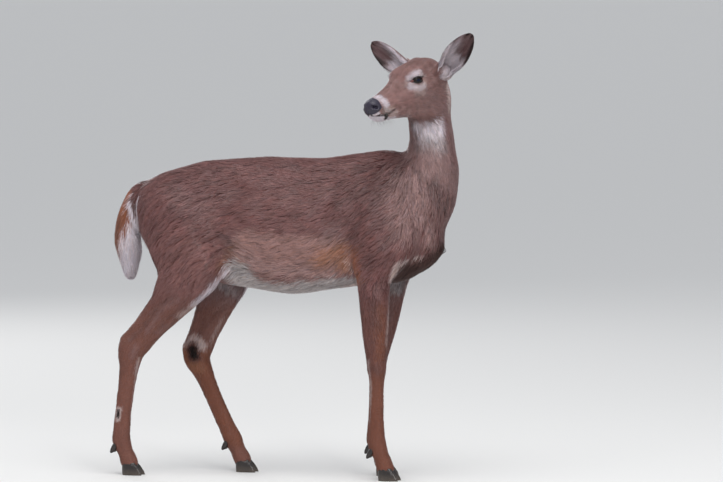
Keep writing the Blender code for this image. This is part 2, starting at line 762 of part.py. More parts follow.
def fitted(obj, body):
    """Takes from a horn, an eye or an ear what the flesh already fills."""
    return boolean(obj, "DIFFERENCE", other=body)


def swollen(body):
    """A copy of the body that is larger all round by the gap."""
    copy = bpy.data.objects.new("flesh_with_gap", body.data.copy())
    bpy.data.collections["cutters"].objects.link(copy)
    relief = Relief(copy)
    relief.points += relief.normals() * GAP * 3
    relief.store()
    return copy


# ---------------------------------------------------------------- colours and the finished deer

FINISHES = {  # base colour and roughness
    "coat": ((0.200, 0.120, 0.085), 0.90),
    "tail": ((0.330, 0.200, 0.130), 0.90),
    "ear": ((0.230, 0.165, 0.135), 0.90),
    "horn": ((0.016, 0.013, 0.012), 0.42),
    "eye": ((0.010, 0.009, 0.012), 0.06),
}


def finish_of(name):
    finishes = {"hoof": "horn", "dewclaw": "horn", "ear": "ear", "eye": "eye", "tail": "tail"}
    return finishes.get(name.split("_")[0], "coat")


def painted(obj):
    """Gives a piece a material of its own, in the finish of its kind."""
    colour, roughness = FINISHES[finish_of(obj.name)]
    material = bpy.data.materials.new(obj.name + "_" + finish_of(obj.name))
    material.use_nodes = True
    shader = material.node_tree.nodes["Principled BSDF"]
    shader.inputs["Base Color"].default_value = (*colour, 1.0)
    shader.inputs["Roughness"].default_value = roughness
    shader.inputs["Metallic"].default_value = 0.0
    obj.data.materials.clear()
    obj.data.materials.append(material)


def horns(flesh):
    """Two hooves and two dewclaws on each foot, named by the side of the foot they are on."""
    made = []
    for side in ("right", "left"):
        outward = -1 if side == "right" else 1
        for leg, joints in (("fore", FORE_JOINTS[side]), ("hind", HIND_JOINTS[side])):
            for place, outer in (("outer", outward), ("inner", -outward)):
                label = f"{leg}_{side}_{place}"
                made.append(fitted(hoof("hoof_" + label, Vector(joints[-1]), outer), flesh))
                made.append(fitted(dewclaw("dewclaw_" + label, Vector(joints[-2]), outer), flesh))
    return made


def stand_on_origin(pieces):
    """Moves the whole deer so that the middle of its box stands on the origin."""
    points = np.array([v.co for piece in pieces for v in piece.data.vertices])
    low, high = points.min(axis=0), points.max(axis=0)
    move = Vector((-0.5 * (low[0] + high[0]), -0.5 * (low[1] + high[1]), -low[2]))
    for piece in pieces:
        piece.data.transform(Matrix.Translation(move))
    return move


def set_origin(piece):
    """Puts a piece's origin in the middle of its own box, and the piece where it was."""
    middle = sum((Vector(corner) for corner in piece.bound_box), Vector()) / 8
    piece.data.transform(Matrix.Translation(-middle))
    piece.location = middle


def main():
    for old in list(bpy.data.objects):
        bpy.data.objects.remove(old)
    deer = bpy.data.collections.new("white_tailed_deer")
    cutters = bpy.data.collections.new("cutters")
    for collection in (deer, cutters):
        bpy.context.scene.collection.children.link(collection)

    body = thinned(whole_body())
    flesh = swollen(body)
    pieces = horns(flesh)
    for side in ("right", "left"):
        pieces.append(fitted(ear(side), flesh))
        pieces.append(eye(side, EYE_RADIUS, "eye_" + side))
        cutter(eye(side, EYE_RADIUS + GAP, "socket_" + side))
    bpy.data.objects.remove(flesh)
    leg_cuts()
    body_cuts()
    pieces += parted(body).values()

    for helper in cutters.objects:
        helper.hide_render = True
    move = stand_on_origin(pieces)
    for helper in cutters.objects:
        helper.location = move
    for piece in pieces:
        bpy.context.scene.collection.objects.unlink(piece)
        deer.objects.link(piece)
        set_origin(piece)
        painted(piece)


main()
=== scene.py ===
# %% [markdown]
# # A white-tailed doe, life size
# The doe stands still with her head turned back over her right side. Her plain solids come from a
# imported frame, which fixes every size and place. This lesson puts the looks on them: one skin, a
# coat of short overlapping locks, moist eyes, horn on the feet, and the soft light of a studio.
# Each cell makes one thing, says what it is on the real animal, and prints what it made.

# %% Load the frame and the tools
import math

import bmesh
import bpy
import numpy as np
from mathutils import Matrix, Vector
from mathutils.bvhtree import BVHTree
from mathutils.kdtree import KDTree


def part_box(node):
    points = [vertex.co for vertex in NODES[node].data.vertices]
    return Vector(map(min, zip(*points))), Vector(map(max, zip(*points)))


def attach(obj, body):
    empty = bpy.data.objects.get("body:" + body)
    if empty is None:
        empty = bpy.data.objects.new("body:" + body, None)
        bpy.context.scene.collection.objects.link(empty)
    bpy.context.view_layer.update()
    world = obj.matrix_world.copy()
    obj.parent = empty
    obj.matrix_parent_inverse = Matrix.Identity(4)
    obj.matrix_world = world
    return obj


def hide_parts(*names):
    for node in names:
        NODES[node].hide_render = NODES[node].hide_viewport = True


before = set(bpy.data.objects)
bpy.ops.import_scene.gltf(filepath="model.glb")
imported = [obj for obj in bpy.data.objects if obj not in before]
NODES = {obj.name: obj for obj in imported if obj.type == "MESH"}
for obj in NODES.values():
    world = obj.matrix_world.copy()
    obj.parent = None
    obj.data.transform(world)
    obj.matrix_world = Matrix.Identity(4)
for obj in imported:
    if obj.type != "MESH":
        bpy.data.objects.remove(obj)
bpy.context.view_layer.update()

# %% [markdown]
# ## The studio
# A museum model is best judged in even light. The floor is a plain pale sheet, wide enough to fill
# the view from any side. A broad soft light hangs overhead, as an overcast sky does over a deer in
# a clearing, and two weaker ones open the shadows in front and behind. A long lens far away keeps
# her proportions flat and true, so the camera stands 14 m off, nearly at the height of a person's
# eyes. Past the floor's far edge the camera sees the air in the floor's shade, so that no line
# shows in a low view.

# %% Camera
CAMERA_AIM = Vector((0.1785, 0.0562, 0.655))
CAMERA_TURN = math.radians(14)  # from square on to her right side, towards her chest
CAMERA_DISTANCE = 14.0
CAMERA_HEIGHT = 1.40
CAMERA_LENS = 252.35  # mm, on a sensor 36 mm wide
CLEAR_VIEW = 2000  # m, past the floor's far edge


def new_object(name, data):
    """An object of this data, in the scene."""
    made = bpy.data.objects.new(name, data)
    bpy.context.scene.collection.objects.link(made)
    return made


camera_data = bpy.data.cameras.new("camera")
camera_data.lens = CAMERA_LENS
camera_data.clip_end = CLEAR_VIEW
camera = new_object("camera", camera_data)
climb = math.asin((CAMERA_HEIGHT - CAMERA_AIM.z) / CAMERA_DISTANCE)
backward = Vector((
    math.sin(CAMERA_TURN) * math.cos(climb), -math.cos(CAMERA_TURN) * math.cos(climb), math.sin(climb),
))
camera.location = CAMERA_AIM + backward * CAMERA_DISTANCE
camera.rotation_euler = backward.to_track_quat("Z", "Y").to_euler()
bpy.context.scene.camera = camera
print("camera at", [round(v, 3) for v in camera.location])


# %% Floor, sky and lamps
AIR = 0.92, 0.95, 1.0
PAPER = 0.78, 0.77, 0.75
FLOOR_SIZE = 1600
MIDDLE = Vector((0, 0, 0.7))  # of the doe, where the lamps look


def deselect():
    """Operators act on all that is selected, so each step starts from nothing."""
    if bpy.context.mode != "OBJECT":
        bpy.ops.object.mode_set(mode="OBJECT")
    bpy.ops.object.select_all(action="DESELECT")


def new_node(tree, kind, inputs=None, **settings):
    """A node in a tree, with these settings and input values."""
    node = tree.nodes.new("ShaderNode" + kind)
    for setting, value in settings.items():
        setattr(node, setting, value)
    for socket, value in (inputs or {}).items():
        node.inputs[socket].default_value = value
    return node


def in_object(tree, kind, inputs=None, **settings):
    """A node that works in the object's own space."""
    node = new_node(tree, kind, inputs, **settings)
    tree.links.new(new_node(tree, "TexCoord").outputs["Object"], node.inputs["Vector"])
    return node


def shader_of(material):
    return material.node_tree.nodes["Principled BSDF"]


def plain_material(name, colour, roughness):
    material = bpy.data.materials.new(name)
    material.use_nodes = True
    shader = shader_of(material)
    shader.inputs["Base Color"].default_value = (*colour, 1)
    shader.inputs["Roughness"].default_value = roughness
    return material


def lamp(name, place, target, size, watts):
    """A round soft lamp that looks at its target."""
    data = bpy.data.lights.new(name, "AREA")
    data.shape = "DISK"
    data.size = size
    data.energy = watts
    made = new_object(name, data)
    made.location = place
    made.rotation_euler = (Vector(place) - Vector(target)).to_track_quat("Z", "Y").to_euler()


deselect()
bpy.ops.mesh.primitive_plane_add(size=FLOOR_SIZE)
floor = bpy.context.object
floor.name = "floor"
floor.data.materials.append(plain_material("floor_paper", PAPER, 0.85))
lamp("sky_softbox", (0.6, -2.2, 5.2), MIDDLE, 5.0, 185)
lamp("front_fill", (3.2, -6.0, 2.9), MIDDLE, 1.1, 55)
lamp("back_rim", (-4.0, 5.0, 3.5), MIDDLE, 3.0, 70)
world = bpy.data.worlds.new("studio_air")
world.use_nodes = True
backing = world.node_tree.nodes["Background"]
backing.inputs["Strength"].default_value = 0.68
far_floor = (*(light * paper for light, paper in zip(AIR, PAPER)), 1)  # the shade it shows far off
seen = new_node(world.node_tree, "LightPath")
air = new_node(world.node_tree, "Mix", {"A": (*AIR, 1), "B": far_floor}, data_type="RGBA")
world.node_tree.links.new(seen.outputs["Is Camera Ray"], air.inputs["Factor"])
world.node_tree.links.new(air.outputs["Result"], backing.inputs["Color"])
bpy.context.scene.world = world
bpy.context.scene.view_settings.view_transform = "Standard"
print("lamps:", [light.name for light in bpy.data.lights])

# %% [markdown]
# ## Places on the doe
# Nearly everything on a deer comes in pairs, so a place is given once and used on both sides.
# Places on the body are along X, beside the spine, and up. The head is turned and tilted, so it has
# a frame of its own, midway between the eyes: ahead to the nose, beside to her left, and up through
# the crown. Both frames are measured on the solids.

# %% The spine plane and the head frame
HEAD_PITCH = math.radians(20)
EYE_AHEAD, EYE_UP = -0.005, 0.002  # the eyeballs' middles in the head frame


def middle_of(node):
    low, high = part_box(node)
    return (low + high) / 2


SPINE_Y = middle_of("trunk").y
eye_gap = middle_of("eye_left") - middle_of("eye_right")
to_left = Vector((eye_gap.x, eye_gap.y, 0)).normalized()
level_ahead = to_left.cross(Vector((0, 0, 1)))
HEAD_TURN = math.atan2(level_ahead.y, level_ahead.x)
head_axes = Matrix.Rotation(HEAD_TURN, 4, "Z") @ Matrix.Rotation(HEAD_PITCH, 4, "Y")
eyes_middle = (middle_of("eye_left") + middle_of("eye_right")) / 2
eyes_middle -= head_axes.to_3x3() @ Vector((EYE_AHEAD, 0, EYE_UP))
HEAD = Matrix.Translation(eyes_middle) @ head_axes
TO_HEAD = HEAD.inverted()
EYE_BESIDE = eye_gap.length / 2


def moved(points, matrix):
    """Many points through one matrix."""
    table = np.array(matrix)
    return points @ table[:3, :3].T + table[:3, 3]


def mirrored_body(points):
    """Body places: X, distance beside the spine plane, height."""
    return np.column_stack([points[:, 0], np.abs(points[:, 1] - SPINE_Y), points[:, 2]])


def mirrored_head(points):
    """Head places: ahead, distance beside the head's middle plane, up."""
    found = moved(points, TO_HEAD)
    found[:, 1] = np.abs(found[:, 1])
    return found


print("spine plane y:", round(SPINE_Y, 4), "head turned:", round(math.degrees(HEAD_TURN), 1))
print("head frame at", [round(v, 4) for v in eyes_middle], "eyes beside:", round(EYE_BESIDE, 4))

# %% [markdown]
# ## How the coat lies
# A deer's hair never stands at random: it runs back from the nose, down the neck, back and down
# over the ribs, and straight down the legs. One table of guides says it all. Each guide is a place,
# the way the hair lies there, its length, and how deep the coat is over the skin. Any other point
# takes a blend of the guides near it, so the same table shapes the skin and combs the locks.

# %% Guides on the body and the head
# place (X, beside the spine, height), way it lies, hair length and coat depth in mm
BODY_GUIDES = {
    "withers": ((0.20, 0.03, 0.900), (-1.0, 0.1, -0.15), 25, 8.0),
    "back": ((0.00, 0.03, 0.885), (-1.0, 0.05, -0.05), 27, 8.0),
    "loin": ((-0.20, 0.03, 0.873), (-1.0, 0.1, -0.10), 27, 8.0),
    "croup": ((-0.36, 0.03, 0.835), (-0.9, 0.1, -0.45), 26, 8.0),
    "rump": ((-0.42, 0.07, 0.760), (-0.75, 0, -0.65), 25, 8.0),
    "hip": ((-0.27, 0.10, 0.800), (-0.86, 0.1, -0.46), 24, 7.5),
    "upper side": ((0.00, 0.10, 0.820), (-0.95, 0.1, -0.25), 25, 7.5),
    "side": ((0.00, 0.13, 0.700), (-0.93, 0, -0.34), 26, 8.5),
    "front ribs": ((0.13, 0.12, 0.700), (-0.85, 0, -0.45), 25, 7.5),
    "flank": ((-0.17, 0.12, 0.710), (-0.90, 0, -0.42), 26, 7.5),
    "lower side": ((0.04, 0.125, 0.610), (-0.98, 0, -0.12), 30, 9.5),
    "before the stifle": ((-0.11, 0.120, 0.610), (-0.85, 0, 0.40), 30, 9.0),
    "above the fold": ((-0.13, 0.120, 0.665), (-0.97, 0, 0.05), 27, 8.0),
    "belly edge": ((0.00, 0.085, 0.545), (-0.92, -0.2, -0.15), 32, 11.0),
    "belly": ((0.00, 0.02, 0.515), (-1.0, 0, 0), 30, 10.0),
    "groin": ((-0.15, 0.06, 0.550), (-0.55, 0, -0.80), 36, 12.0),
    "shoulder top": ((0.22, 0.08, 0.830), (-0.82, 0, -0.57), 22, 7.0),
    "shoulder": ((0.25, 0.115, 0.730), (-0.74, 0, -0.67), 20, 6.5),
    "upper arm": ((0.22, 0.125, 0.640), (-0.84, 0, -0.54), 19, 6.5),
    "elbow": ((0.20, 0.115, 0.580), (-0.70, 0, -0.72), 18, 5.5),
    "breast": ((0.42, 0.02, 0.740), (0.0, 0, -1.0), 23, 8.5),
    "breastbone": ((0.42, 0.01, 0.640), (-0.3, 0, -1.0), 26, 9.0),
    "chest side": ((0.37, 0.085, 0.700), (-0.3, 0, -0.95), 20, 7.5),
    "brisket": ((0.35, 0.03, 0.570), (-0.8, 0, -0.60), 24, 8.5),
    "between the forelegs": ((0.22, 0.00, 0.510), (-1.0, 0, -0.1), 22, 7.5),
    "thigh": ((-0.30, 0.140, 0.680), (-0.84, 0, -0.54), 23, 7.0),
    "thigh front": ((-0.21, 0.140, 0.620), (-0.84, 0, -0.50), 22, 6.5),
    "low thigh": ((-0.33, 0.130, 0.560), (-0.72, 0, -0.69), 18, 5.5),
    "thigh back": ((-0.42, 0.110, 0.640), (-0.60, 0, -0.80), 24, 7.5),
    "inner thigh": ((-0.28, 0.030, 0.560), (-0.3, 0, -0.95), 18, 6.0),
    "under the tail": ((-0.44, 0.020, 0.700), (-0.1, 0, -1.0), 30, 9.0),
}
# place ahead, beside and above the point between the eyes, and the rest as before
HEAD_GUIDES = {
    "nose bridge": ((0.110, 0.000, 0.000), (-1.0, 0.1, 0.10), 4.5, 1.4),
    "long bridge": ((0.060, 0.000, 0.014), (-1.0, 0.1, 0.25), 6.5, 1.9),
    "forehead": ((0.000, 0.000, 0.036), (-1.0, 0.2, 0.15), 9.0, 2.8),
    "crown": ((-0.060, 0.000, 0.042), (-1.0, 0.2, 0.0), 12, 4.0),
    "poll": ((-0.110, 0.000, 0.020), (-0.9, 0.1, -0.40), 15, 5.5),
    "muzzle side": ((0.120, 0.026, -0.030), (-1.0, 0.1, -0.05), 4.0, 1.3),
    "upper lip": ((0.150, 0.020, -0.036), (-1.0, 0.3, -0.30), 2.6, 0.9),
    "front cheek": ((0.070, 0.034, -0.030), (-1.0, 0.1, -0.15), 6.5, 2.0),
    "before the eye": ((0.035, 0.038, -0.012), (-1.0, 0.1, -0.20), 6.0, 1.8),
    "above the eye": ((-0.005, 0.042, 0.030), (-1.0, 0.1, 0.20), 5.5, 1.9),
    "below the eye": ((0.000, 0.048, -0.025), (-1.0, 0.1, -0.28), 6.0, 2.0),
    "behind the eye": ((-0.045, 0.047, 0.000), (-1.0, 0.0, -0.15), 8.0, 2.8),
    "cheek": ((-0.010, 0.047, -0.060), (-0.9, 0.0, -0.45), 9.5, 3.2),
    "jaw corner": ((-0.050, 0.045, -0.100), (-0.75, 0.0, -0.70), 14, 4.8),
    "lower jaw": ((0.060, 0.020, -0.080), (-1.0, 0.1, -0.15), 8.0, 2.4),
    "chin": ((0.135, 0.010, -0.063), (-0.9, 0.2, -0.40), 6.0, 1.7),
    "throat": ((-0.030, 0.010, -0.120), (-0.6, 0.0, -0.80), 17, 6.0),
    "temple": ((-0.075, 0.045, 0.020), (-0.9, 0.3, 0.0), 10, 3.4),
    "ear root": ((-0.100, 0.065, 0.000), (-0.2, 0.8, 0.50), 12, 1.2),
}
# the neck is twisted, so its guides are plain places in the frame, for the one side each is on
NECK_GUIDES = {
    "throat": ((0.375, -0.010, 0.975), (0.25, 0, -1), 24, 8.0),
    "throat edge": ((0.330, 0.010, 0.960), (0.15, 0, -1), 20, 7.0),
    "near side": ((0.425, 0.020, 0.960), (0.18, 0, -1), 22, 7.5),
    "far edge": ((0.430, 0.080, 0.960), (0.10, 0, -1), 22, 7.5),
    "nape": ((0.370, 0.115, 1.000), (-0.05, 0.1, -1), 24, 8.0),
    "nape edge": ((0.320, 0.080, 0.960), (-0.10, 0, -1), 22, 7.5),
    "middle throat": ((0.385, -0.010, 0.900), (0.22, 0, -1), 26, 8.5),
    "lower front": ((0.445, 0.050, 0.870), (0.05, 0, -1), 26, 8.5),
    "lower side": ((0.375, -0.025, 0.850), (0.05, 0, -1), 24, 8.0),
    "lower far side": ((0.375, 0.135, 0.850), (0.05, 0, -1), 24, 8.0),
    "neck to withers": ((0.300, 0.050, 0.905), (-0.6, 0, -0.75), 24, 8.0),
}
TAIL_GUIDES = {
    "tail root": ((-0.445, 0.000, 0.805), (-0.75, 0, -0.65), 34, 9.0),
    "tail": ((-0.510, 0.000, 0.720), (-0.15, 0, -1), 48, 13.0),
    "tail inside": ((-0.460, 0.000, 0.690), (0.26, 0, -1), 54, 17.0),
    "tail edge": ((-0.490, 0.050, 0.690), (-0.10, 0.30, -1), 50, 14.0),
    "tail end": ((-0.487, 0.000, 0.590), (0.05, 0, -1), 70, 12.0),
    "tail tip edge": ((-0.487, 0.030, 0.600), (0.03, -0.20, -1), 66, 11.0),
}
# hair length and coat depth in mm, at the top of each of a leg's pieces and at its foot
LEG_COAT = {
    "upper": ((14, 4.4), (9, 2.9)),
    "cannon": ((8, 2.3), (7, 2.0)),
    "pastern": ((8, 2.2), (7, 1.8)),
}
MM = 0.001
BODY_LONGER = 1.15  # body and tail hair, drawn out from the table's lengths by this much
LEG_SLICES = 4
CLOSEST = 1e-5  # m2, keeps a guide's weight finite where a point falls on it
BATCH = 20000  # points at a time, to spare memory


def leg_guides(node):
    """Guides down a leg's piece, each at the middle of a slice of its own solid."""
    corners = np.array([v.co for v in NODES[node].data.vertices])
    low, high = corners[:, 2].min(), corners[:, 2].max()
    levels = np.linspace(high, low, LEG_SLICES)
    reach = 0.6 * (high - low) / (LEG_SLICES - 1)
    middles = [corners[np.abs(corners[:, 2] - level) < reach].mean(axis=0) for level in levels]
    (long, deep), (short, thin) = LEG_COAT[node.split("_")[1]]
    found = []
    for i, share in enumerate(np.linspace(0, 1, LEG_SLICES)):
        before, after = middles[max(i - 1, 0)], middles[min(i + 1, LEG_SLICES - 1)]
        lie = after - before
        length, depth = long + share * (short - long), deep + share * (thin - deep)
        found.append((middles[i], lie / np.linalg.norm(lie), length, depth))
    return found


def all_guides():
    """Every guide on both sides, as a row: place, way, length and depth, all in the frame."""
    rows = []
    for side in (1, -1):
        for (x, beside, z), (dx, dy, dz), length, depth in (*BODY_GUIDES.values(), *TAIL_GUIDES.values()):
            rows.append(((x, SPINE_Y + side * beside, z), (dx, side * dy, dz), length * BODY_LONGER, depth))
        for (x, beside, z), (dx, dy, dz), length, depth in HEAD_GUIDES.values():
            lie = HEAD.to_3x3() @ Vector((dx, side * dy, dz))
            rows.append((HEAD @ Vector((x, side * beside, z)), lie, length, depth))
    rows += NECK_GUIDES.values()
    for node in NODES:
        if node.split("_")[0] in ("foreleg", "hindleg"):
            rows += leg_guides(node)
    table = np.array([(*place, *lie, length * MM, depth * MM) for place, lie, length, depth in rows])
    table[:, 3:6] /= np.linalg.norm(table[:, 3:6], axis=1)[:, None]
    return table


GUIDES = all_guides()


def combed(points):
    """For each point: the way its hair lies, its length, and the coat's depth."""
    found = np.empty((len(points), 5))
    for start in range(0, len(points), BATCH):
        some = points[start:start + BATCH]
        gap = ((some[:, None] - GUIDES[None, :, :3]) ** 2).sum(axis=2)
        weight = 1 / (gap + CLOSEST) ** 2
        found[start:start + BATCH] = weight @ GUIDES[:, 3:] / weight.sum(axis=1)[:, None]
    return found[:, :3], found[:, 3], found[:, 4]


print("guides:", len(GUIDES))

# %% [markdown]
# ## The skin
# The frame parts the flesh into pieces, with hairline gaps between them. A real hide has none, so
# copies of the pieces are swollen a little, joined, and remeshed into one closed surface, as a
# taxidermist stretches one hide over a jointed form. The eyeballs go in too, to fill their
# sockets. The skin is then smoothed until no flat facet is left, and drawn in by the depth of the
# coat, so that the tips of the hair end where the solids did.

# %% Join the flesh into one surface
SKIN_VOXEL = 0.006
SWELL = 0.0008  # more than the gaps between the solids, so that the copies overlap
FLESH = [n for n in NODES if n.split("_")[0] not in ("eye", "hoof", "dewclaw", "ear")]
EARS = ["ear_left", "ear_right"]


def select_only(obj):
    deselect()
    obj.select_set(True)
    bpy.context.view_layer.objects.active = obj


def copy_of(node, name):
    """A free copy of a node's solid, with its loose triangles merged."""
    made = new_object(name, NODES[node].data.copy())
    made.data.materials.clear()
    select_only(made)
    bpy.ops.object.mode_set(mode="EDIT")
    bpy.ops.mesh.select_all(action="SELECT")
    bpy.ops.mesh.remove_doubles(threshold=1e-5)
    bpy.ops.object.mode_set(mode="OBJECT")
    return made


def applied(obj, kind, **settings):
    """Adds a modifier with these settings and applies it."""
    step = obj.modifiers.new(kind.lower(), kind)
    for setting, value in settings.items():
        setattr(step, setting, value)
    select_only(obj)
    bpy.ops.object.modifier_apply(modifier=step.name)


def joined(objects, name):
    """All of these in one object, the first of them, under this name."""
    select_only(objects[0])
    for obj in objects:
        obj.select_set(True)
    bpy.ops.object.join()
    objects[0].name = name
    return objects[0]


copies = [copy_of(node, "flesh_" + node) for node in (*FLESH, "eye_left", "eye_right")]
for copy in copies:
    applied(copy, "DISPLACE", strength=SWELL, mid_level=0.0)
skin = joined(copies, "skin")
applied(skin, "REMESH", mode="VOXEL", voxel_size=SKIN_VOXEL)
print("skin faces:", len(skin.data.polygons))


# %% Folds of the body
# a line of places (X, beside the spine, height), how far it reaches, and how many mm it rises
BODY_FOLDS = {
    "crease of the flank": (((-0.200, 0.114, 0.690), (-0.165, 0.120, 0.660), (-0.136, 0.124, 0.633)),
                            0.013, -8.0),
    "roll over that crease": (((-0.190, 0.118, 0.712), (-0.145, 0.127, 0.678)), 0.022, 3.0),
    "fold before the thigh": (((-0.136, 0.124, 0.630), (-0.150, 0.117, 0.610), (-0.187, 0.104, 0.588)),
                              0.013, -4.0),
    "edge of the shoulder": (((0.290, 0.100, 0.560), (0.314, 0.109, 0.607), (0.342, 0.096, 0.620),
                              (0.351, 0.050, 0.626), (0.372, 0.046, 0.629)), 0.011, 5.5),
    "hollow under it": (((0.312, 0.085, 0.560), (0.335, 0.088, 0.592), (0.366, 0.040, 0.602)), 0.019, -6.5),
    "crease behind the elbow": (((0.160, 0.106, 0.655), (0.171, 0.100, 0.602), (0.182, 0.090, 0.572)),
                                0.011, -4.5),
    "point of the elbow": (((0.196, 0.112, 0.640), (0.200, 0.116, 0.575)), 0.020, 3.0),
    "edge of the ribs": (((0.150, 0.122, 0.690), (0.030, 0.134, 0.690), (-0.100, 0.130, 0.690)), 0.020, 2.0),
    "top of the shoulder blade": (((0.200, 0.055, 0.885), (0.260, 0.070, 0.850)), 0.026, 2.5),
    "behind the shoulder": (((0.150, 0.100, 0.820), (0.140, 0.115, 0.720)), 0.030, -3.0),
    "hip bone": (((-0.245, 0.080, 0.838), (-0.262, 0.095, 0.815)), 0.028, 3.0),
}
# the legs each stand their own way, so their folds are plain places
LEG_FOLDS = {
    "tendon groove, near": (((-0.318, -0.068, 0.500), (-0.383, -0.056, 0.468), (-0.409, -0.056, 0.426),
                             (-0.450, -0.054, 0.386)), 0.012, -5.5),
    "shin, near": (((-0.310, -0.071, 0.503), (-0.360, -0.064, 0.466), (-0.402, -0.059, 0.404)), 0.014, 3.0),
    "hollow before the shin, near": (((-0.300, -0.066, 0.470), (-0.345, -0.060, 0.440),
                                      (-0.382, -0.055, 0.398)), 0.010, -2.5),
    "point of the hock, near": (((-0.437, -0.059, 0.359), (-0.440, -0.057, 0.340)), 0.014, 2.0),
    "tendon groove, far": (((-0.230, 0.120, 0.470), (-0.280, 0.113, 0.430), (-0.318, 0.112, 0.385)),
                           0.012, -4.0),
    "knee cap, near": (((0.258, -0.050, 0.322), (0.256, -0.048, 0.300)), 0.014, 1.6),
    "forearm muscle, near": (((0.262, -0.062, 0.500), (0.252, -0.060, 0.420)), 0.020, 2.0),
}
print("folds:", len(BODY_FOLDS) + len(LEG_FOLDS))


# %% A surface to be worked
FAR = 9.0  # m, farther than any two places on her


def table_of(rows, field, width=3, kind=float):
    """One field of a mesh's vertices, edges or triangles, a row for each."""
    found = np.empty(len(rows) * width, kind)
    rows.foreach_get(field, found)
    return found.reshape(-1, width)


def near_line(points, line):
    """Distance from each point to a line of places, or to its only place."""
    nearest = np.full(len(points), FAR)
    line = [np.array(place, float) for place in line]
    for a, b in zip(line, line[1:] or line):
        along = b - a
        share = np.clip((points - a) @ along / max(along @ along, 1e-12), 0, 1)
        nearest = np.minimum(nearest, np.linalg.norm(points - a - share[:, None] * along, axis=1))
    return nearest


class Relief:
    """A mesh's points as an array, to be smoothed, drawn in and pressed, then put back."""

    def __init__(self, obj):
        self.data = obj.data
        self.points = table_of(self.data.vertices, "co")
        self.ends = table_of(self.data.edges, "vertices", 2, np.int32)
        self.degree = np.bincount(self.ends.ravel(), minlength=len(self.points))[:, None]

    def pull(self):
        """From each point to the middle of its neighbours."""
        total = np.empty_like(self.points)
        a, b = self.ends.T
        for axis in range(3):
            column = self.points[:, axis]
            total[:, axis] = np.bincount(a, column[b], len(column)) + np.bincount(b, column[a], len(column))
        return total / self.degree - self.points

    def even_out(self, rounds, weight=1.0):
        """Smooths without shrinking: each round moves in, then a little further out."""
        for _ in range(rounds):
            self.points += 0.55 * weight * self.pull()
            self.points -= 0.57 * weight * self.pull()

    def relax(self, rounds, weight=1.0):
        """Smooths, and shrinks a little."""
        for _ in range(rounds):
            self.points += 0.5 * weight * self.pull()

    def normals(self):
        self.store()
        return table_of(self.data.vertices, "normal")

    def press(self, line, radius, height):
        """Raises, or with a negative height sinks, what lies within radius of a line of places."""
        weight = np.clip(1 - (near_line(self.points, line) / radius) ** 2, 0, 1)[:, None] ** 2
        self.points += self.normals() * weight * height

    def store(self):
        self.data.vertices.foreach_set("co", self.points.astype(np.float32).ravel())
        self.data.update()


print("a surface can be smoothed, drawn in and pressed")


# %% Soft edges, and the solid nearest a place
def soft_step(values, low, high):
    """0 below low, 1 above high, and smooth between."""
    share = np.clip((values - low) / (high - low), 0, 1)
    return share * share * (3 - 2 * share)


def soft_fall(values, low, high):
    """1 below low, 0 above high, and smooth between."""
    return soft_step(-values, -high, -low)


def triangles_of(names):
    """One search tree over several nodes, and the name of the node each triangle is from."""
    corners, owners = [], []
    for name in names:
        mesh = NODES[name].data
        points = [v.co.copy() for v in mesh.vertices]
        for face in mesh.polygons:
            corners.append([points[i] for i in face.vertices])
            owners.append(name)
    places = [p for face in corners for p in face]
    faces = [(3 * i, 3 * i + 1, 3 * i + 2) for i in range(len(corners))]
    return BVHTree.FromPolygons(places, faces), np.array(owners)


flesh_tree, flesh_owner = triangles_of(FLESH)


def parts_of(points):
    """The node that each point belongs to, by the nearest of the solids."""
    found = [flesh_tree.find_nearest(Vector(p))[2] for p in points]
    return flesh_owner[found]


print("solid triangles of flesh:", len(flesh_owner))


# %% Smooth the skin and draw it in
FACE_MIDDLE = 0.04, 0, -0.03  # in the head frame
TAIL_FRONT, TAIL_MIDDLE = -0.450, -0.487
TAIL_TAPER = 0.560, 0.665  # under the hair the tail narrows down from the second height to the first

relief = Relief(skin)
from_face = np.linalg.norm(moved(relief.points, TO_HEAD) - FACE_MIDDLE, axis=1)
broad = (soft_step(from_face, 0.12, 0.20) * soft_step(relief.points[:, 2], 0.25, 0.55))[:, None]
relief.even_out(14, 0.35 + 0.65 * broad)
relief.even_out(70, broad)
_, _, depth = combed(relief.points)
relief.points -= relief.normals() * depth[:, None]
relief.even_out(6, 0.35 + 0.65 * broad)
relief.relax(3, 0.5 * broad)
hanging = (relief.points[:, 0] < TAIL_FRONT) & (np.abs(relief.points[:, 1] - SPINE_Y) < 0.06)
narrower = hanging * soft_fall(relief.points[:, 2], *TAIL_TAPER) * 0.5
relief.points[:, :2] += (np.array([TAIL_MIDDLE, SPINE_Y]) - relief.points[:, :2]) * narrower[:, None]
for line, radius, height in BODY_FOLDS.values():
    for side in (1, -1):
        relief.press([(x, SPINE_Y + side * beside, z) for x, beside, z in line], radius, height * MM)
for line, radius, height in LEG_FOLDS.values():
    relief.press(line, radius, height * MM)
relief.store()
print("coat depth mm:", np.round(np.percentile(depth, [0, 50, 100]) / MM, 1))

# %% [markdown]
# ## The face
# The face needs a finer surface than the flanks: lids a millimetre thick, nostrils, and the line of
# the mouth. Its faces are cut in four, and those round the eyes and the muzzle once more. Then
# folds are pressed in along short lines of places, as a modeller draws a tool through clay.

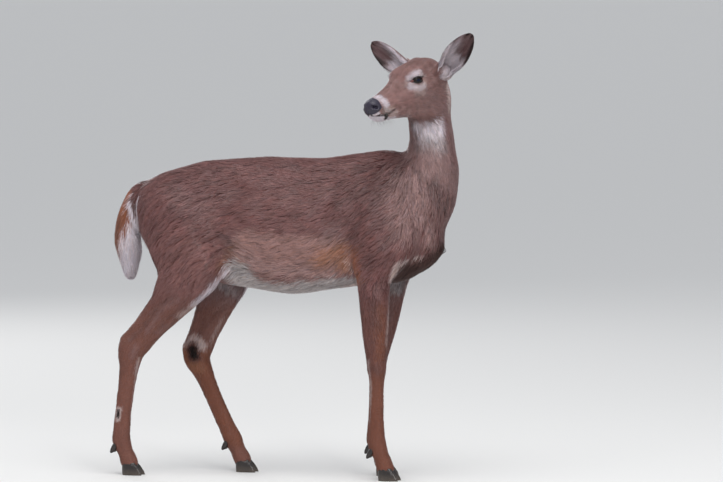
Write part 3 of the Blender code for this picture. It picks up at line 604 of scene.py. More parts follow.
# %% Finer faces on the head
MUZZLE_REACH = 0.080
EYE_REACH = 0.034
LID_THICKNESS = 0.0013
LID_BLEND = 0.006  # how softly the lids run into the hide
BARE_SIZE = (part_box("eye_left")[1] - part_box("eye_left")[0]).z / 2  # radius of the solid eyeball
EYE_SWELL = 1.15  # the whole ball is larger than the part that the solid shows
EYE_SIZE = BARE_SIZE * EYE_SWELL
SOCKET_DEPTH = 0.0016
EYE_SUNK = SOCKET_DEPTH + EYE_SIZE - BARE_SIZE  # its front lies the socket's depth behind the solid's
SLIT_BACK, SLIT_FRONT = 0.0188, 0.0192  # the opening's half length behind and ahead
SLIT_TOP, SLIT_LOW = 0.0088, 0.0078  # and its half height
SLIT_ROUND = 1.6  # 2 would make its corners round, 1 makes them sharp


def refined(obj, wanted):
    """Cuts each face whose corners are all wanted in four."""
    select_only(obj)
    bpy.ops.object.mode_set(mode="EDIT")
    bpy.ops.mesh.select_mode(type="VERT")
    bpy.ops.mesh.select_all(action="DESELECT")
    bpy.ops.object.mode_set(mode="OBJECT")
    obj.data.vertices.foreach_set("select", wanted)
    bpy.ops.object.mode_set(mode="EDIT")
    bpy.ops.mesh.select_mode(type="VERT")
    bpy.ops.mesh.subdivide(number_cuts=1)
    bpy.ops.object.mode_set(mode="OBJECT")


def points_of(obj):
    return table_of(obj.data.vertices, "co")


def measured(points, origin, ways):
    """Places measured from an origin along three ways."""
    return (points - np.array(origin)) @ np.array([list(way) for way in ways]).T


def eye_frame(side):
    """An eyeball's middle, and the ways along its slit, up, and outward. Side is 1 on her left."""
    turn = HEAD.to_3x3()
    outward = Vector((0.30, side, 0.10)).normalized()
    slit = Vector((1, 0, 0.20))
    slit = (slit - outward * slit.dot(outward)).normalized()
    up = outward.cross(slit) * -side
    middle = HEAD @ (Vector((EYE_AHEAD, side * EYE_BESIDE, EYE_UP)) - outward * EYE_SUNK)
    return middle, turn @ slit, turn @ up, turn @ outward


def in_eye(points, side):
    """Places measured from an eyeball's middle: along the slit, up, and outward."""
    middle, *ways = eye_frame(side)
    return measured(points, middle, ways)


def slit_measure(along, up):
    """1 on the edge of the opening between the lids, less inside it, more outside."""
    half_length = np.where(along > 0, SLIT_FRONT, SLIT_BACK)
    half_height = np.where(up > 0, SLIT_TOP, SLIT_LOW)
    return np.abs(along / half_length) ** SLIT_ROUND + np.abs(up / half_height) ** 2


def round_eye(points, side):
    """Places in an eye's own frame, how far they are from its middle, and slit_measure there."""
    local = in_eye(points, side)
    distance = np.linalg.norm(local, axis=1)
    on_ball = local[:, :2] / distance[:, None] * EYE_SIZE
    return local, distance, slit_measure(*on_ball.T)


EAR_LEAN = {"left": (-0.180, 0.750, 0.640), "right": (-0.020, -0.870, 0.493)}  # from root to tip
EAR_FACING = {"left": (0.930, 0.300, -0.150), "right": (0.940, -0.050, 0.250)}  # where the hollow looks
EAR_LENGTH = 0.172
EAR_ROOT = (-0.099, 0.048, -0.014)
SKULL_MIDDLE = 0, 0, -0.04  # both in the head frame
SKULL_REACH = 0.175  # m round that, down to the throat
THROAT_UP = -0.140


def ear_frame(name):
    """Root, and the ways along the ear, across it, and out of its hollow."""
    side = name.split("_")[1]
    turn = HEAD.to_3x3()
    along = (turn @ Vector(EAR_LEAN[side])).normalized()
    facing = turn @ Vector(EAR_FACING[side])
    facing = (facing - along * facing.dot(along)).normalized()
    root = HEAD @ Vector((EAR_ROOT[0], EAR_ROOT[1] * (1 if side == "left" else -1), EAR_ROOT[2]))
    return root, along, along.cross(facing), facing


def in_ear(points, name):
    """Share of the ear's length from its root, metres across it, and out of its hollow."""
    root, *ways = ear_frame(name)
    found = measured(points, root, ways)
    found[:, 0] /= EAR_LENGTH
    return found


from_head = moved(points_of(skin), TO_HEAD)
in_reach = np.linalg.norm(from_head - SKULL_MIDDLE, axis=1) < SKULL_REACH
refined(skin, in_reach & (from_head[:, 2] > THROAT_UP))
relief = Relief(skin)
on_head = mirrored_head(relief.points)
smooth_here = soft_fall(np.linalg.norm(on_head - SKULL_MIDDLE, axis=1), 0.16, 0.19)[:, None]
relief.even_out(10, smooth_here)
relief.store()
on_head = mirrored_head(points_of(skin))
eye_middle = (EYE_AHEAD, EYE_BESIDE, EYE_UP)
close = (on_head[:, 0] > MUZZLE_REACH) | (np.linalg.norm(on_head - eye_middle, axis=1) < EYE_REACH)
close &= np.linalg.norm(on_head, axis=1) < 0.20
refined(skin, close)
relief = Relief(skin)
relief.even_out(8, (mirrored_head(relief.points)[:, 0] > MUZZLE_REACH - 0.02)[:, None] * 0.8)
print("skin faces:", len(skin.data.polygons))

# %% Folds, nostrils and mouth
# Each fold is a line of places ahead, beside and above, how far it reaches, and its height in mm.
FACE_FOLDS = {
    "tear duct": (((0.016, 0.043, 0.005), (0.027, 0.0395, 0.000)), 0.0034, -1.9),
    "slit before the eye": (((0.027, 0.0395, 0.000), (0.042, 0.036, -0.008)), 0.0050, -1.8),
    "side of the crown": (((-0.072, 0.030, 0.036), (-0.092, 0.056, 0.028)), 0.0300, 9.0),
    "brow": (((-0.026, 0.046, 0.022), (-0.004, 0.043, 0.027), (0.016, 0.038, 0.019)), 0.0130, 3.4),
    "fold over the upper lid": (((-0.022, 0.050, 0.013), (-0.004, 0.050, 0.018), (0.014, 0.044, 0.013)),
                                0.0045, -1.3),
    "bag under the lower lid": (((-0.020, 0.052, -0.015), (0.000, 0.050, -0.016), (0.018, 0.043, -0.011)),
                                0.0070, 1.2),
    "crest of the cheek": (((-0.020, 0.050, -0.026), (0.030, 0.042, -0.024), (0.060, 0.036, -0.024)),
                           0.0150, 2.2),
    "vein on the muzzle": (((0.050, 0.036, -0.020), (0.078, 0.032, -0.012), (0.100, 0.029, -0.012)),
                           0.0050, 0.6),
    "hollow behind the lips": (((0.062, 0.033, -0.046), (0.084, 0.030, -0.049)), 0.0130, -1.6),
    "corner of the mouth": (((0.088, 0.029, -0.046), (0.094, 0.029, -0.050)), 0.0070, 0.9),
    "wing of the nostril": (((0.156, 0.014, -0.009), (0.149, 0.022, -0.0065), (0.138, 0.0268, -0.0085)),
                            0.0050, 1.7),
    "back of the nostril": (((0.139, 0.027, -0.017), (0.143, 0.027, -0.024)), 0.0050, 1.2),
    "groove under the nose": (((0.1590, 0.000, -0.018), (0.1585, 0.000, -0.037)), 0.0030, -1.6),
    "lower lip": (((0.150, 0.000, -0.046), (0.137, 0.017, -0.0515), (0.112, 0.023, -0.056)), 0.0055, 1.1),
    "upper lip": (((0.152, 0.012, -0.0375), (0.137, 0.0245, -0.0405), (0.108, 0.028, -0.0465)), 0.0055, 1.1),
    "parting of the lips": (
        ((0.1585, 0.000, -0.0385), (0.150, 0.013, -0.0425), (0.138, 0.021, -0.0460), (0.122, 0.0245, -0.0510),
         (0.105, 0.027, -0.0515), (0.091, 0.0285, -0.0475)), 0.0034, -4.6),
    "rim below the nostril": (((0.1520, 0.0185, -0.0265), (0.1430, 0.0262, -0.0268)), 0.0046, 1.3),
    "nostril": (((0.1530, 0.0195, -0.0165), (0.1445, 0.0258, -0.0200)), 0.0072, -8.5),
    "slit of the nostril": (((0.1450, 0.0265, -0.0185), (0.1385, 0.0280, -0.0135)), 0.0034, -4.0),
}
PAD_BACK = (  # up, and how far ahead the bare pad starts there
    (-0.060, 0.176), (-0.0375, 0.1560), (-0.0330, 0.1400),
    (-0.0260, 0.1275), (-0.006, 0.1270), (0.010, 0.1330),
)
PAD_RISE = 0.0012


def nose_pad(on_head):
    """1 on the bare nose pad, 0 on the haired skin, from places in the head frame."""
    edge = np.interp(on_head[:, 2], *np.transpose(PAD_BACK))
    return soft_step(on_head[:, 0] - edge, -0.0010, 0.0012)


relief.points += relief.normals() * nose_pad(mirrored_head(relief.points))[:, None] * PAD_RISE
for line, radius, height in FACE_FOLDS.values():
    for side in (1, -1):
        if side == 1 or any(place[1] for place in line):
            relief.press([HEAD @ Vector((a, side * b, c)) for a, b, c in line], radius, height * MM)

# %% The skin round the eyes, and at the ears' mouths
LID_REACH = 0.036  # m from the ball's middle
SLIT_SUNK = 0.88  # between the lids the skin lies inside the ball, at this share of its radius
EAR_MOUTH = 0.21, 0.016  # share of the ear's length, and m out of its hollow
EAR_MOUTH_REACH, EAR_MOUTH_RISE = 0.022, -0.005
for side in (1, -1):
    local, distance, measure = round_eye(relief.points, side)
    facing = (local[:, 2] > 0.15 * distance) & (distance < LID_REACH)
    rise = EYE_SIZE + LID_THICKNESS
    share = np.clip(0.5 + 0.5 * (rise - distance) / LID_BLEND, 0, 1)
    draped = distance + (rise - distance) * share + LID_BLEND * share * (1 - share) * 0.5
    wanted = np.where(facing, np.where(measure < 1, EYE_SIZE * SLIT_SUNK, draped), distance)
    out = local / distance[:, None] * (wanted - distance)[:, None]
    relief.points += out @ np.array([list(way) for way in eye_frame(side)[1:]])
for name in EARS:
    root, along, _, facing = ear_frame(name)
    mouth = root + along * (EAR_MOUTH[0] * EAR_LENGTH) + facing * EAR_MOUTH[1]
    relief.press([mouth], EAR_MOUTH_REACH, EAR_MOUTH_RISE)
relief.store()
print("eyeball radius mm:", round(EYE_SIZE / MM, 1))

# %% [markdown]
# ## The ears
# A deer's ear is a leaf of cartilage, hairy on both faces, rolled into a tube where it meets the
# head. The solids give its curl. A copy gets its quads back, a Subdivision Surface rounds it, ribs
# are raised inside, and its root is let into the head, so that hair runs over the join with no step.

# %% Ears
EAR_HALF_WIDTH = 0.034
EAR_RIBS = -0.40, 0.0, 0.42  # across, in half widths
RIB_HALF = 0.16  # and how broad each is
RIB_RISE = 0.0011
ROOT_SUNK = 0.009  # how far the root is let into the head
ears = []
for name in EARS:
    ear = copy_of(name, "skin_" + name)
    bpy.ops.object.mode_set(mode="EDIT")
    bpy.ops.mesh.select_all(action="SELECT")
    bpy.ops.mesh.tris_convert_to_quads(face_threshold=0.9, shape_threshold=0.9)
    bpy.ops.object.mode_set(mode="OBJECT")
    applied(ear, "SUBSURF", levels=2, render_levels=2)
    shape = Relief(ear)
    shape.even_out(4)
    share, across, out = in_ear(shape.points, name).T
    hollow = (shape.normals() @ np.array(ear_frame(name)[3]) > 0.1)[:, None]
    for rib in EAR_RIBS:
        gap = across / EAR_HALF_WIDTH - rib
        ridge = np.exp(-(gap / RIB_HALF) ** 2) * soft_step(share, 0.15, 0.3) * soft_fall(share, 0.6, 0.85)
        shape.points += shape.normals() * hollow * ridge[:, None] * RIB_RISE
    sunk = soft_fall(share, 0.16, 0.30)[:, None]
    shape.points -= np.array(ear_frame(name)[1]) * sunk * ROOT_SUNK
    shape.store()
    ears.append(ear)
    print(name, "faces:", len(ear.data.polygons))
ear_start = len(skin.data.vertices)
ear_sizes = [len(ear.data.vertices) for ear in ears]
skin = joined([skin, *ears], "skin")

# %% [markdown]
# ## The eyes
# A deer's eye is large, dark and set on the side of the skull. Almost no white shows, and its pupil
# is a wide level bar that by day is hard to tell from the brown iris. The eyeball is a turned
# sphere with a bulging cornea, painted in two colours: the dark ring of the iris, and the pupil,
# whose blue is a painted reflection. The lids are rings of dark bare skin that lie on the ball and
# bury their outer edge in the hide.

# %% Eyeballs
IRIS_HALF = 0.0130
PUPIL_HALF = 0.0036  # its height; it is longer level
CORNEA_RISE = 0.0009
SIDES = (1, "left"), (-1, "right")


def finish_piece(piece, slot, *nodes):
    """Every piece is smooth-shaded and rides on the body, and the solids it stands for are hidden. The slot
    is not used.
    """
    piece.data.shade_smooth()
    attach(piece, "root")
    if nodes:
        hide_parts(*nodes)


def placed_by(obj, middle, along, up, outward):
    """Turns and moves a mesh so its X, Y and Z lie along these ways, with the object at the origin."""
    ways = Matrix([along, up, outward]).transposed().to_4x4()
    obj.data.transform(Matrix.Translation(middle) @ ways)
    obj.matrix_world = Matrix.Identity(4)
    if ways.determinant() < 0:
        obj.data.flip_normals()


eyeballs = []
for side, word in SIDES:
    deselect()
    bpy.ops.mesh.primitive_uv_sphere_add(segments=64, ring_count=40, radius=EYE_SIZE)
    ball = bpy.context.object
    ball.name = "eyeball_" + word
    for vertex in ball.data.vertices:
        off = vertex.co.xy.length / IRIS_HALF
        if vertex.co.z > 0 and off < 1:
            vertex.co.z += CORNEA_RISE * (1 - off * off)
    shades = ball.data.color_attributes.new("eye_parts", "FLOAT_COLOR", "POINT")
    for vertex, shade in zip(ball.data.vertices, shades.data):
        x, y, z = vertex.co
        pupil = soft_fall(math.hypot(x / 1.7, y) / PUPIL_HALF, 0.85, 1.15) if z > 0 else 0.0
        iris = soft_fall(math.hypot(x / 1.05, y) / IRIS_HALF, 0.93, 1.05) if z > 0 else 0.0
        shade.color = (float(pupil), float(iris), 0.0, 1.0)
    placed_by(ball, *eye_frame(side))
    eyeballs.append(ball)
print("eyeballs:", [ball.name for ball in eyeballs])

# %% Lids
LID_LOOPS = (  # how far out from the opening's edge, and how high over the eyeball in mm
    (0.93, 0.10), (0.97, 0.45), (1.01, 1.15), (1.06, 1.60), (1.12, 1.55), (1.18, 0.90), (1.24, -0.4),
)
LID_POINTS = 56
STEEP = 0.985  # past this reach the lid no longer follows the ball down, but runs on outward


def lid_place(turn, scale, height):
    """A point of a lid's loop: on the opening's outline, scaled, and lifted off the ball."""
    cosine, sine = math.cos(turn), math.sin(turn)
    along = math.copysign(abs(cosine) ** (2 / SLIT_ROUND), cosine) * (SLIT_FRONT if cosine > 0 else SLIT_BACK)
    up = math.copysign(abs(sine), sine) * (SLIT_TOP if sine > 0 else SLIT_LOW)
    along, up = along * scale, up * (scale + 0.10 * (scale - 1))
    reach = math.hypot(along, up) / EYE_SIZE
    angle = min(reach, STEEP + 0.25 * (reach - STEEP)) if reach > STEEP else reach
    angle = math.asin(min(angle, 0.9999)) if angle < 1 else math.pi / 2 + (angle - 1)
    radius = EYE_SIZE + height * MM
    flat = Vector((along, up, 0)).normalized()
    return flat * (radius * math.sin(angle)) + Vector((0, 0, radius * math.cos(angle)))


def object_of(mesh, name):
    """An object made of a bmesh."""
    made = new_object(name, bpy.data.meshes.new(name))
    mesh.to_mesh(made.data)
    mesh.free()
    return made


lids = []
for side, word in SIDES:
    mesh = bmesh.new()
    turns = [2 * math.pi * i / LID_POINTS for i in range(LID_POINTS)]
    loops = [[mesh.verts.new(lid_place(turn, *loop)) for turn in turns] for loop in LID_LOOPS]
    for inner, outer in zip(loops, loops[1:]):
        for i in range(LID_POINTS):
            j = (i + 1) % LID_POINTS
            mesh.faces.new((inner[i], outer[i], outer[j], inner[j]))
    lid = object_of(mesh, "eyelids_" + word)
    placed_by(lid, *eye_frame(side))
    applied(lid, "SUBSURF", levels=1, render_levels=1)
    lids.append(lid)
print("lids:", [len(lid.data.polygons) for lid in lids])

# %% [markdown]
# ## Markings, with painted shade and highlights
# A whitetail is grey-brown above and white below, and the white is where the light doesn't fall:
# belly, throat, chin, rings round the eyes, the inside of legs and ears, and the underside of the
# tail. The colours are laid on as washes, one over another. A wash is a line of places, how far it
# reaches, how soft its edge is, and a colour. Some washes are painted shade: in creases and grooves,
# below the shoulder, under the jaw, and under the chest and belly. A few are painted highlights, on
# the hip and the near hind leg, and the blue of the nose pad is a painted sheen. Skin and hair take
# their colour from the same washes, so they always agree.

# %% Colours of the coat
TINTS = {
    "brown": (0.144, 0.054, 0.051),
    "back brown": (0.132, 0.047, 0.045),
    # dark brown is the coat's own dark, and is also laid as painted shade in folds, grooves and below the
    # shoulder
    "dark brown": (0.080, 0.034, 0.032),
    "rump brown": (0.128, 0.047, 0.045),
    "thigh brown": (0.198, 0.086, 0.078),
    "rufous": (0.220, 0.064, 0.022),
    "ochre": (0.285, 0.118, 0.062),
    "tan": (0.300, 0.163, 0.145),
    "pale tan": (0.350, 0.222, 0.210),
    # grey tan is also laid as painted highlights on the hip and the near hind leg
    "grey tan": (0.225, 0.132, 0.127),
    "face brown": (0.255, 0.136, 0.124),
    "forehead": (0.290, 0.150, 0.138),
    "white": (0.630, 0.560, 0.600),
    "cream": (0.480, 0.370, 0.350),
    # belly white is white darkened: painted shade under the body
    "belly white in painted shade": (0.400, 0.355, 0.350),
    "shaded white": (0.390, 0.340, 0.345),
    "ticking": (0.370, 0.275, 0.260),
    # smoke is also laid as painted shade in the flank's crease and under the jaw
    "smoke": (0.060, 0.034, 0.034),
    "black": (0.010, 0.006, 0.005),
    # the nose pad is black; the blue in this tint is a painted sheen
    "nose": (0.021, 0.016, 0.033),
    "pink": (0.380, 0.150, 0.140),
    "ear grey": (0.190, 0.112, 0.112),
    "ear patch": (0.075, 0.032, 0.034),
    "ear inside": (0.170, 0.092, 0.100),
    "leg brown": (0.152, 0.057, 0.045),
    "leg rufous": (0.200, 0.064, 0.033),
    "shank": (0.205, 0.078, 0.054),
    # brisket is painted shade: the underside of the chest, dark as in shadow
    "brisket": (0.058, 0.030, 0.026),
}
# colour, line of places (X, beside, height), reach, softness, strength
BODY_WASHES = (
    ("back brown", ((0.30, 0, 0.87), (0.20, 0, 0.91), (-0.10, 0, 0.895), (-0.40, 0, 0.83)),
     0.030, 0.050, 0.7),
    ("dark brown", ((0.28, 0.06, 0.83), (0.24, 0.09, 0.78)), 0.045, 0.050, 0.45),
    ("rump brown", ((-0.30, 0.10, 0.78), (-0.40, 0.09, 0.70), (-0.38, 0.11, 0.60)), 0.060, 0.070, 0.7),
    ("thigh brown", ((-0.24, 0.14, 0.60), (-0.34, 0.13, 0.52)), 0.070, 0.070, 0.6),
    ("tan", ((-0.085, 0.125, 0.628), (0.00, 0.13, 0.625), (0.13, 0.11, 0.620)), 0.056, 0.014, 0.95),
    ("pale tan", ((-0.130, 0.118, 0.610), (-0.060, 0.115, 0.585), (0.120, 0.100, 0.575)), 0.012, 0.024, 0.7),
    # Painted shade on the upper arm, below the shoulder.
    ("dark brown", ((0.185, 0.115, 0.72), (0.212, 0.120, 0.62)), 0.016, 0.034, 0.40),
    ("grey tan", ((0.140, 0.107, 0.695), (0.142, 0.107, 0.655)), 0.012, 0.024, 0.65),
    # Painted highlight: a pale lilac sheen on the hip.
    ("grey tan", ((-0.30, 0.11, 0.79), (-0.22, 0.125, 0.74)), 0.016, 0.040, 0.35),
    ("ochre", ((0.11, 0.11, 0.615), (0.152, 0.105, 0.640), (0.162, 0.100, 0.600)), 0.014, 0.024, 0.85),
    # Painted shade in the crease of the flank.
    ("smoke", ((-0.182, 0.117, 0.681), (-0.148, 0.121, 0.652), (-0.134, 0.121, 0.632)), 0.005, 0.010, 0.85),
    ("ochre", ((-0.145, 0.120, 0.625), (-0.185, 0.105, 0.588)), 0.010, 0.014, 0.60),
    # Painted shade in the fold before the thigh.
    ("dark brown", ((-0.138, 0.121, 0.628), (-0.162, 0.114, 0.610), (-0.188, 0.104, 0.588)),
     0.004, 0.011, 0.60),
    ("pale tan", ((0.325, 0.07, 0.83), (0.315, 0.10, 0.75), (0.330, 0.10, 0.70)), 0.024, 0.040, 0.50),
    ("grey tan", ((0.40, 0.00, 0.90), (0.42, 0.00, 0.80)), 0.080, 0.070, 0.6),
    ("pale tan", ((0.383, 0.052, 0.705), (0.390, 0.046, 0.665)), 0.008, 0.018, 0.65),
    # Painted shade: the brisket and the chest between the forelegs, darkened as in shadow.
    ("brisket", ((0.42, 0.00, 0.625), (0.36, 0.02, 0.57), (0.33, 0.06, 0.58)), 0.042, 0.022, 0.95),
    ("brisket", ((0.33, 0.00, 0.560), (0.28, 0.04, 0.550)), 0.040, 0.020, 0.90),
    ("rufous", ((0.192, 0.120, 0.640), (0.197, 0.120, 0.560)), 0.010, 0.016, 0.75),
    ("rufous", ((0.165, 0.115, 0.660), (0.180, 0.115, 0.645)), 0.004, 0.010, 0.6),
    ("tan", ((-0.125, 0.112, 0.590), (-0.079, 0.102, 0.558), (-0.030, 0.092, 0.541), (0.052, 0.082, 0.541),
             (0.120, 0.076, 0.548)), 0.014, 0.016, 0.85),
    ("ochre", ((-0.136, 0.118, 0.606), (-0.105, 0.108, 0.572), (-0.079, 0.100, 0.553)), 0.004, 0.012, 0.55),
    # Painted shade: the belly's white, darkened as if in the body's shadow.
    ("belly white in painted shade", ((-0.11, 0.040, 0.510), (0.16, 0.030, 0.520)), 0.058, 0.020, 1.0),
    ("belly white in painted shade", ((-0.110, 0.080, 0.560), (-0.135, 0.085, 0.565)), 0.034, 0.018, 1.0),
    ("rufous", ((0.152, 0.105, 0.660), (0.166, 0.103, 0.640)), 0.005, 0.012, 0.6),
    ("cream", ((0.168, 0.100, 0.615), (0.173, 0.098, 0.595), (0.183, 0.090, 0.566)), 0.0030, 0.005, 0.90),
    ("cream", ((0.290, 0.100, 0.555), (0.314, 0.109, 0.606), (0.342, 0.096, 0.620), (0.351, 0.050, 0.626),
               (0.372, 0.046, 0.629)), 0.0065, 0.004, 0.90),
    ("cream", ((0.19, 0.02, 0.515), (0.22, 0.02, 0.525)), 0.040, 0.020, 0.7),
    ("shaded white", ((-0.43, 0.00, 0.74), (-0.40, 0.02, 0.62), (-0.34, 0.03, 0.56)), 0.035, 0.020, 0.9),
    ("white", ((-0.443, 0.056, 0.796), (-0.449, 0.052, 0.765), (-0.457, 0.044, 0.730)), 0.0110, 0.005, 0.95),
)
# one-sided marks, in the frame's own places: the hind legs' glands and folds, the throat and the chest
PLAIN_WASHES = (
    ("white", ((-0.174, -0.040, 0.580), (-0.215, -0.048, 0.531), (-0.262, -0.048, 0.486)),
     0.011, 0.010, 0.95),
    ("cream", ((-0.262, -0.048, 0.486), (-0.310, -0.048, 0.450)), 0.006, 0.012, 0.7),
    ("white", ((-0.155, 0.155, 0.590), (-0.180, 0.160, 0.540), (-0.215, 0.160, 0.475)), 0.011, 0.012, 0.95),
    ("cream", ((-0.433, -0.046, 0.330), (-0.441, -0.042, 0.286), (-0.447, -0.034, 0.237),
               (-0.458, -0.032, 0.160)), 0.0030, 0.005, 0.75),
    # Painted shade: dark lines along the near hind leg's tendon groove and the hollow before its shin.
    ("dark brown", ((-0.330, -0.066, 0.500), (-0.383, -0.056, 0.468), (-0.409, -0.056, 0.426),
                    (-0.450, -0.054, 0.386)), 0.0030, 0.010, 0.60),
    ("dark brown", ((-0.300, -0.066, 0.470), (-0.345, -0.060, 0.440), (-0.382, -0.055, 0.398)),
     0.002, 0.009, 0.50),
    # Painted highlights: pale lines along the near hind shin and beside it, and on the point of its hock.
    ("grey tan", ((-0.310, -0.071, 0.503), (-0.360, -0.064, 0.466), (-0.402, -0.059, 0.404)),
     0.003, 0.010, 0.45),
    ("grey tan", ((-0.437, -0.059, 0.359), (-0.446, -0.056, 0.336)), 0.005, 0.010, 0.50),
    ("grey tan", ((-0.240, -0.056, 0.480), (-0.300, -0.052, 0.440), (-0.367, -0.051, 0.404)),
     0.005, 0.012, 0.45),
    ("cream", ((-0.236, 0.122, 0.430), (-0.262, 0.122, 0.385), (-0.272, 0.122, 0.330)), 0.004, 0.008, 0.55),
    ("leg rufous", ((-0.318, 0.112, 0.330), (-0.285, 0.112, 0.300), (-0.200, 0.120, 0.110)),
     0.034, 0.016, 0.9),
    ("cream", ((-0.348, 0.116, 0.356), (-0.334, 0.114, 0.372), (-0.316, 0.113, 0.378),
               (-0.296, 0.116, 0.356)), 0.012, 0.007, 0.95),
    ("rufous", ((-0.340, 0.112, 0.335), (-0.330, 0.112, 0.300)), 0.018, 0.014, 0.7),
    ("dark brown", ((-0.326, 0.112, 0.352), (-0.320, 0.112, 0.322)), 0.016, 0.010, 0.9),
    ("black", ((-0.324, 0.112, 0.348), (-0.319, 0.112, 0.330)), 0.011, 0.008, 0.97),
    ("ochre", ((-0.325, 0.112, 0.296), (-0.300, 0.114, 0.290)), 0.010, 0.014, 0.60),
    ("cream", ((-0.450, -0.010, 0.395), (-0.430, -0.010, 0.380)), 0.008, 0.008, 0.9),
    ("black", ((-0.449, -0.010, 0.368), (-0.449, -0.010, 0.340)), 0.012, 0.010, 0.9),
    ("cream", ((-0.490, -0.046, 0.185), (-0.494, -0.045, 0.160)), 0.0080, 0.003, 0.92),
    ("black", ((-0.4915, -0.046, 0.180), (-0.4945, -0.045, 0.165)), 0.0042, 0.002, 0.96),
    ("cream", ((-0.262, 0.1455, 0.185), (-0.257, 0.1445, 0.160)), 0.0080, 0.003, 0.92),
    ("black", ((-0.2605, 0.1455, 0.180), (-0.2575, 0.1445, 0.165)), 0.0042, 0.002, 0.96),
    ("white", ((0.356, -0.012, 0.970), (0.410, -0.008, 0.972)), 0.022, 0.016, 0.95),
    ("shaded white", ((0.362, 0.000, 0.940), (0.405, 0.000, 0.938)), 0.018, 0.024, 0.8),
    ("pale tan", ((0.378, -0.004, 0.910), (0.395, -0.010, 0.880)), 0.014, 0.030, 0.6),
    ("brown", ((0.424, 0.010, 1.000), (0.432, 0.024, 0.960), (0.440, 0.040, 0.900)), 0.008, 0.012, 0.6),
    ("cream", ((0.439, -0.034, 1.103), (0.430, 0.014, 1.080), (0.432, 0.018, 1.058), (0.433, 0.026, 1.030)),
     0.0085, 0.010, 0.85),
    ("brown", ((0.345, 0.130, 1.060), (0.320, 0.110, 0.960), (0.250, 0.056, 0.900)), 0.030, 0.040, 0.7),
    ("brown", ((0.336, 0.010, 0.960), (0.330, 0.000, 0.880)), 0.012, 0.022, 0.6),
    ("pale tan", ((0.350, -0.010, 0.860), (0.362, -0.026, 0.800), (0.362, -0.019, 0.733)),
     0.014, 0.034, 0.65),
    ("smoke", ((0.400, -0.012, 0.830), (0.415, -0.004, 0.787), (0.426, 0.012, 0.759)), 0.010, 0.020, 0.62),
    ("leg rufous", ((0.262, -0.055, 0.480), (0.262, -0.050, 0.350)), 0.010, 0.018, 0.7),
    ("cream", ((0.221, -0.042, 0.333), (0.227, -0.036, 0.264), (0.222, -0.021, 0.166)), 0.0034, 0.004, 0.70),
)
# the forelegs' marks, in the near leg's own places. The far leg's are as far beyond the spine plane
NEAR_FORELEG_WASHES = (
    ("cream", ((0.290, -0.030, 0.560), (0.280, -0.030, 0.480), (0.274, -0.035, 0.380)), 0.004, 0.006, 0.75),
    ("dark brown", ((0.241, -0.062, 0.505), (0.246, -0.057, 0.440)), 0.006, 0.018, 0.45),
    ("rufous", ((0.264, -0.050, 0.400), (0.258, -0.047, 0.345)), 0.006, 0.016, 0.35),
    ("dark brown", ((0.234, -0.045, 0.312), (0.262, -0.045, 0.302)), 0.006, 0.014, 0.40),
    ("dark brown", ((0.238, -0.070, 0.322), (0.236, -0.070, 0.300)), 0.006, 0.012, 0.45),
)
FAR_FORELEG = 0.112  # m, what the Y of a near mark and its far one add up to
FAR_FORELEG_WASHES = tuple(
    (tint, tuple((x, FAR_FORELEG - y, z) for x, y, z in line), *rest)
    for tint, line, *rest in NEAR_FORELEG_WASHES
)
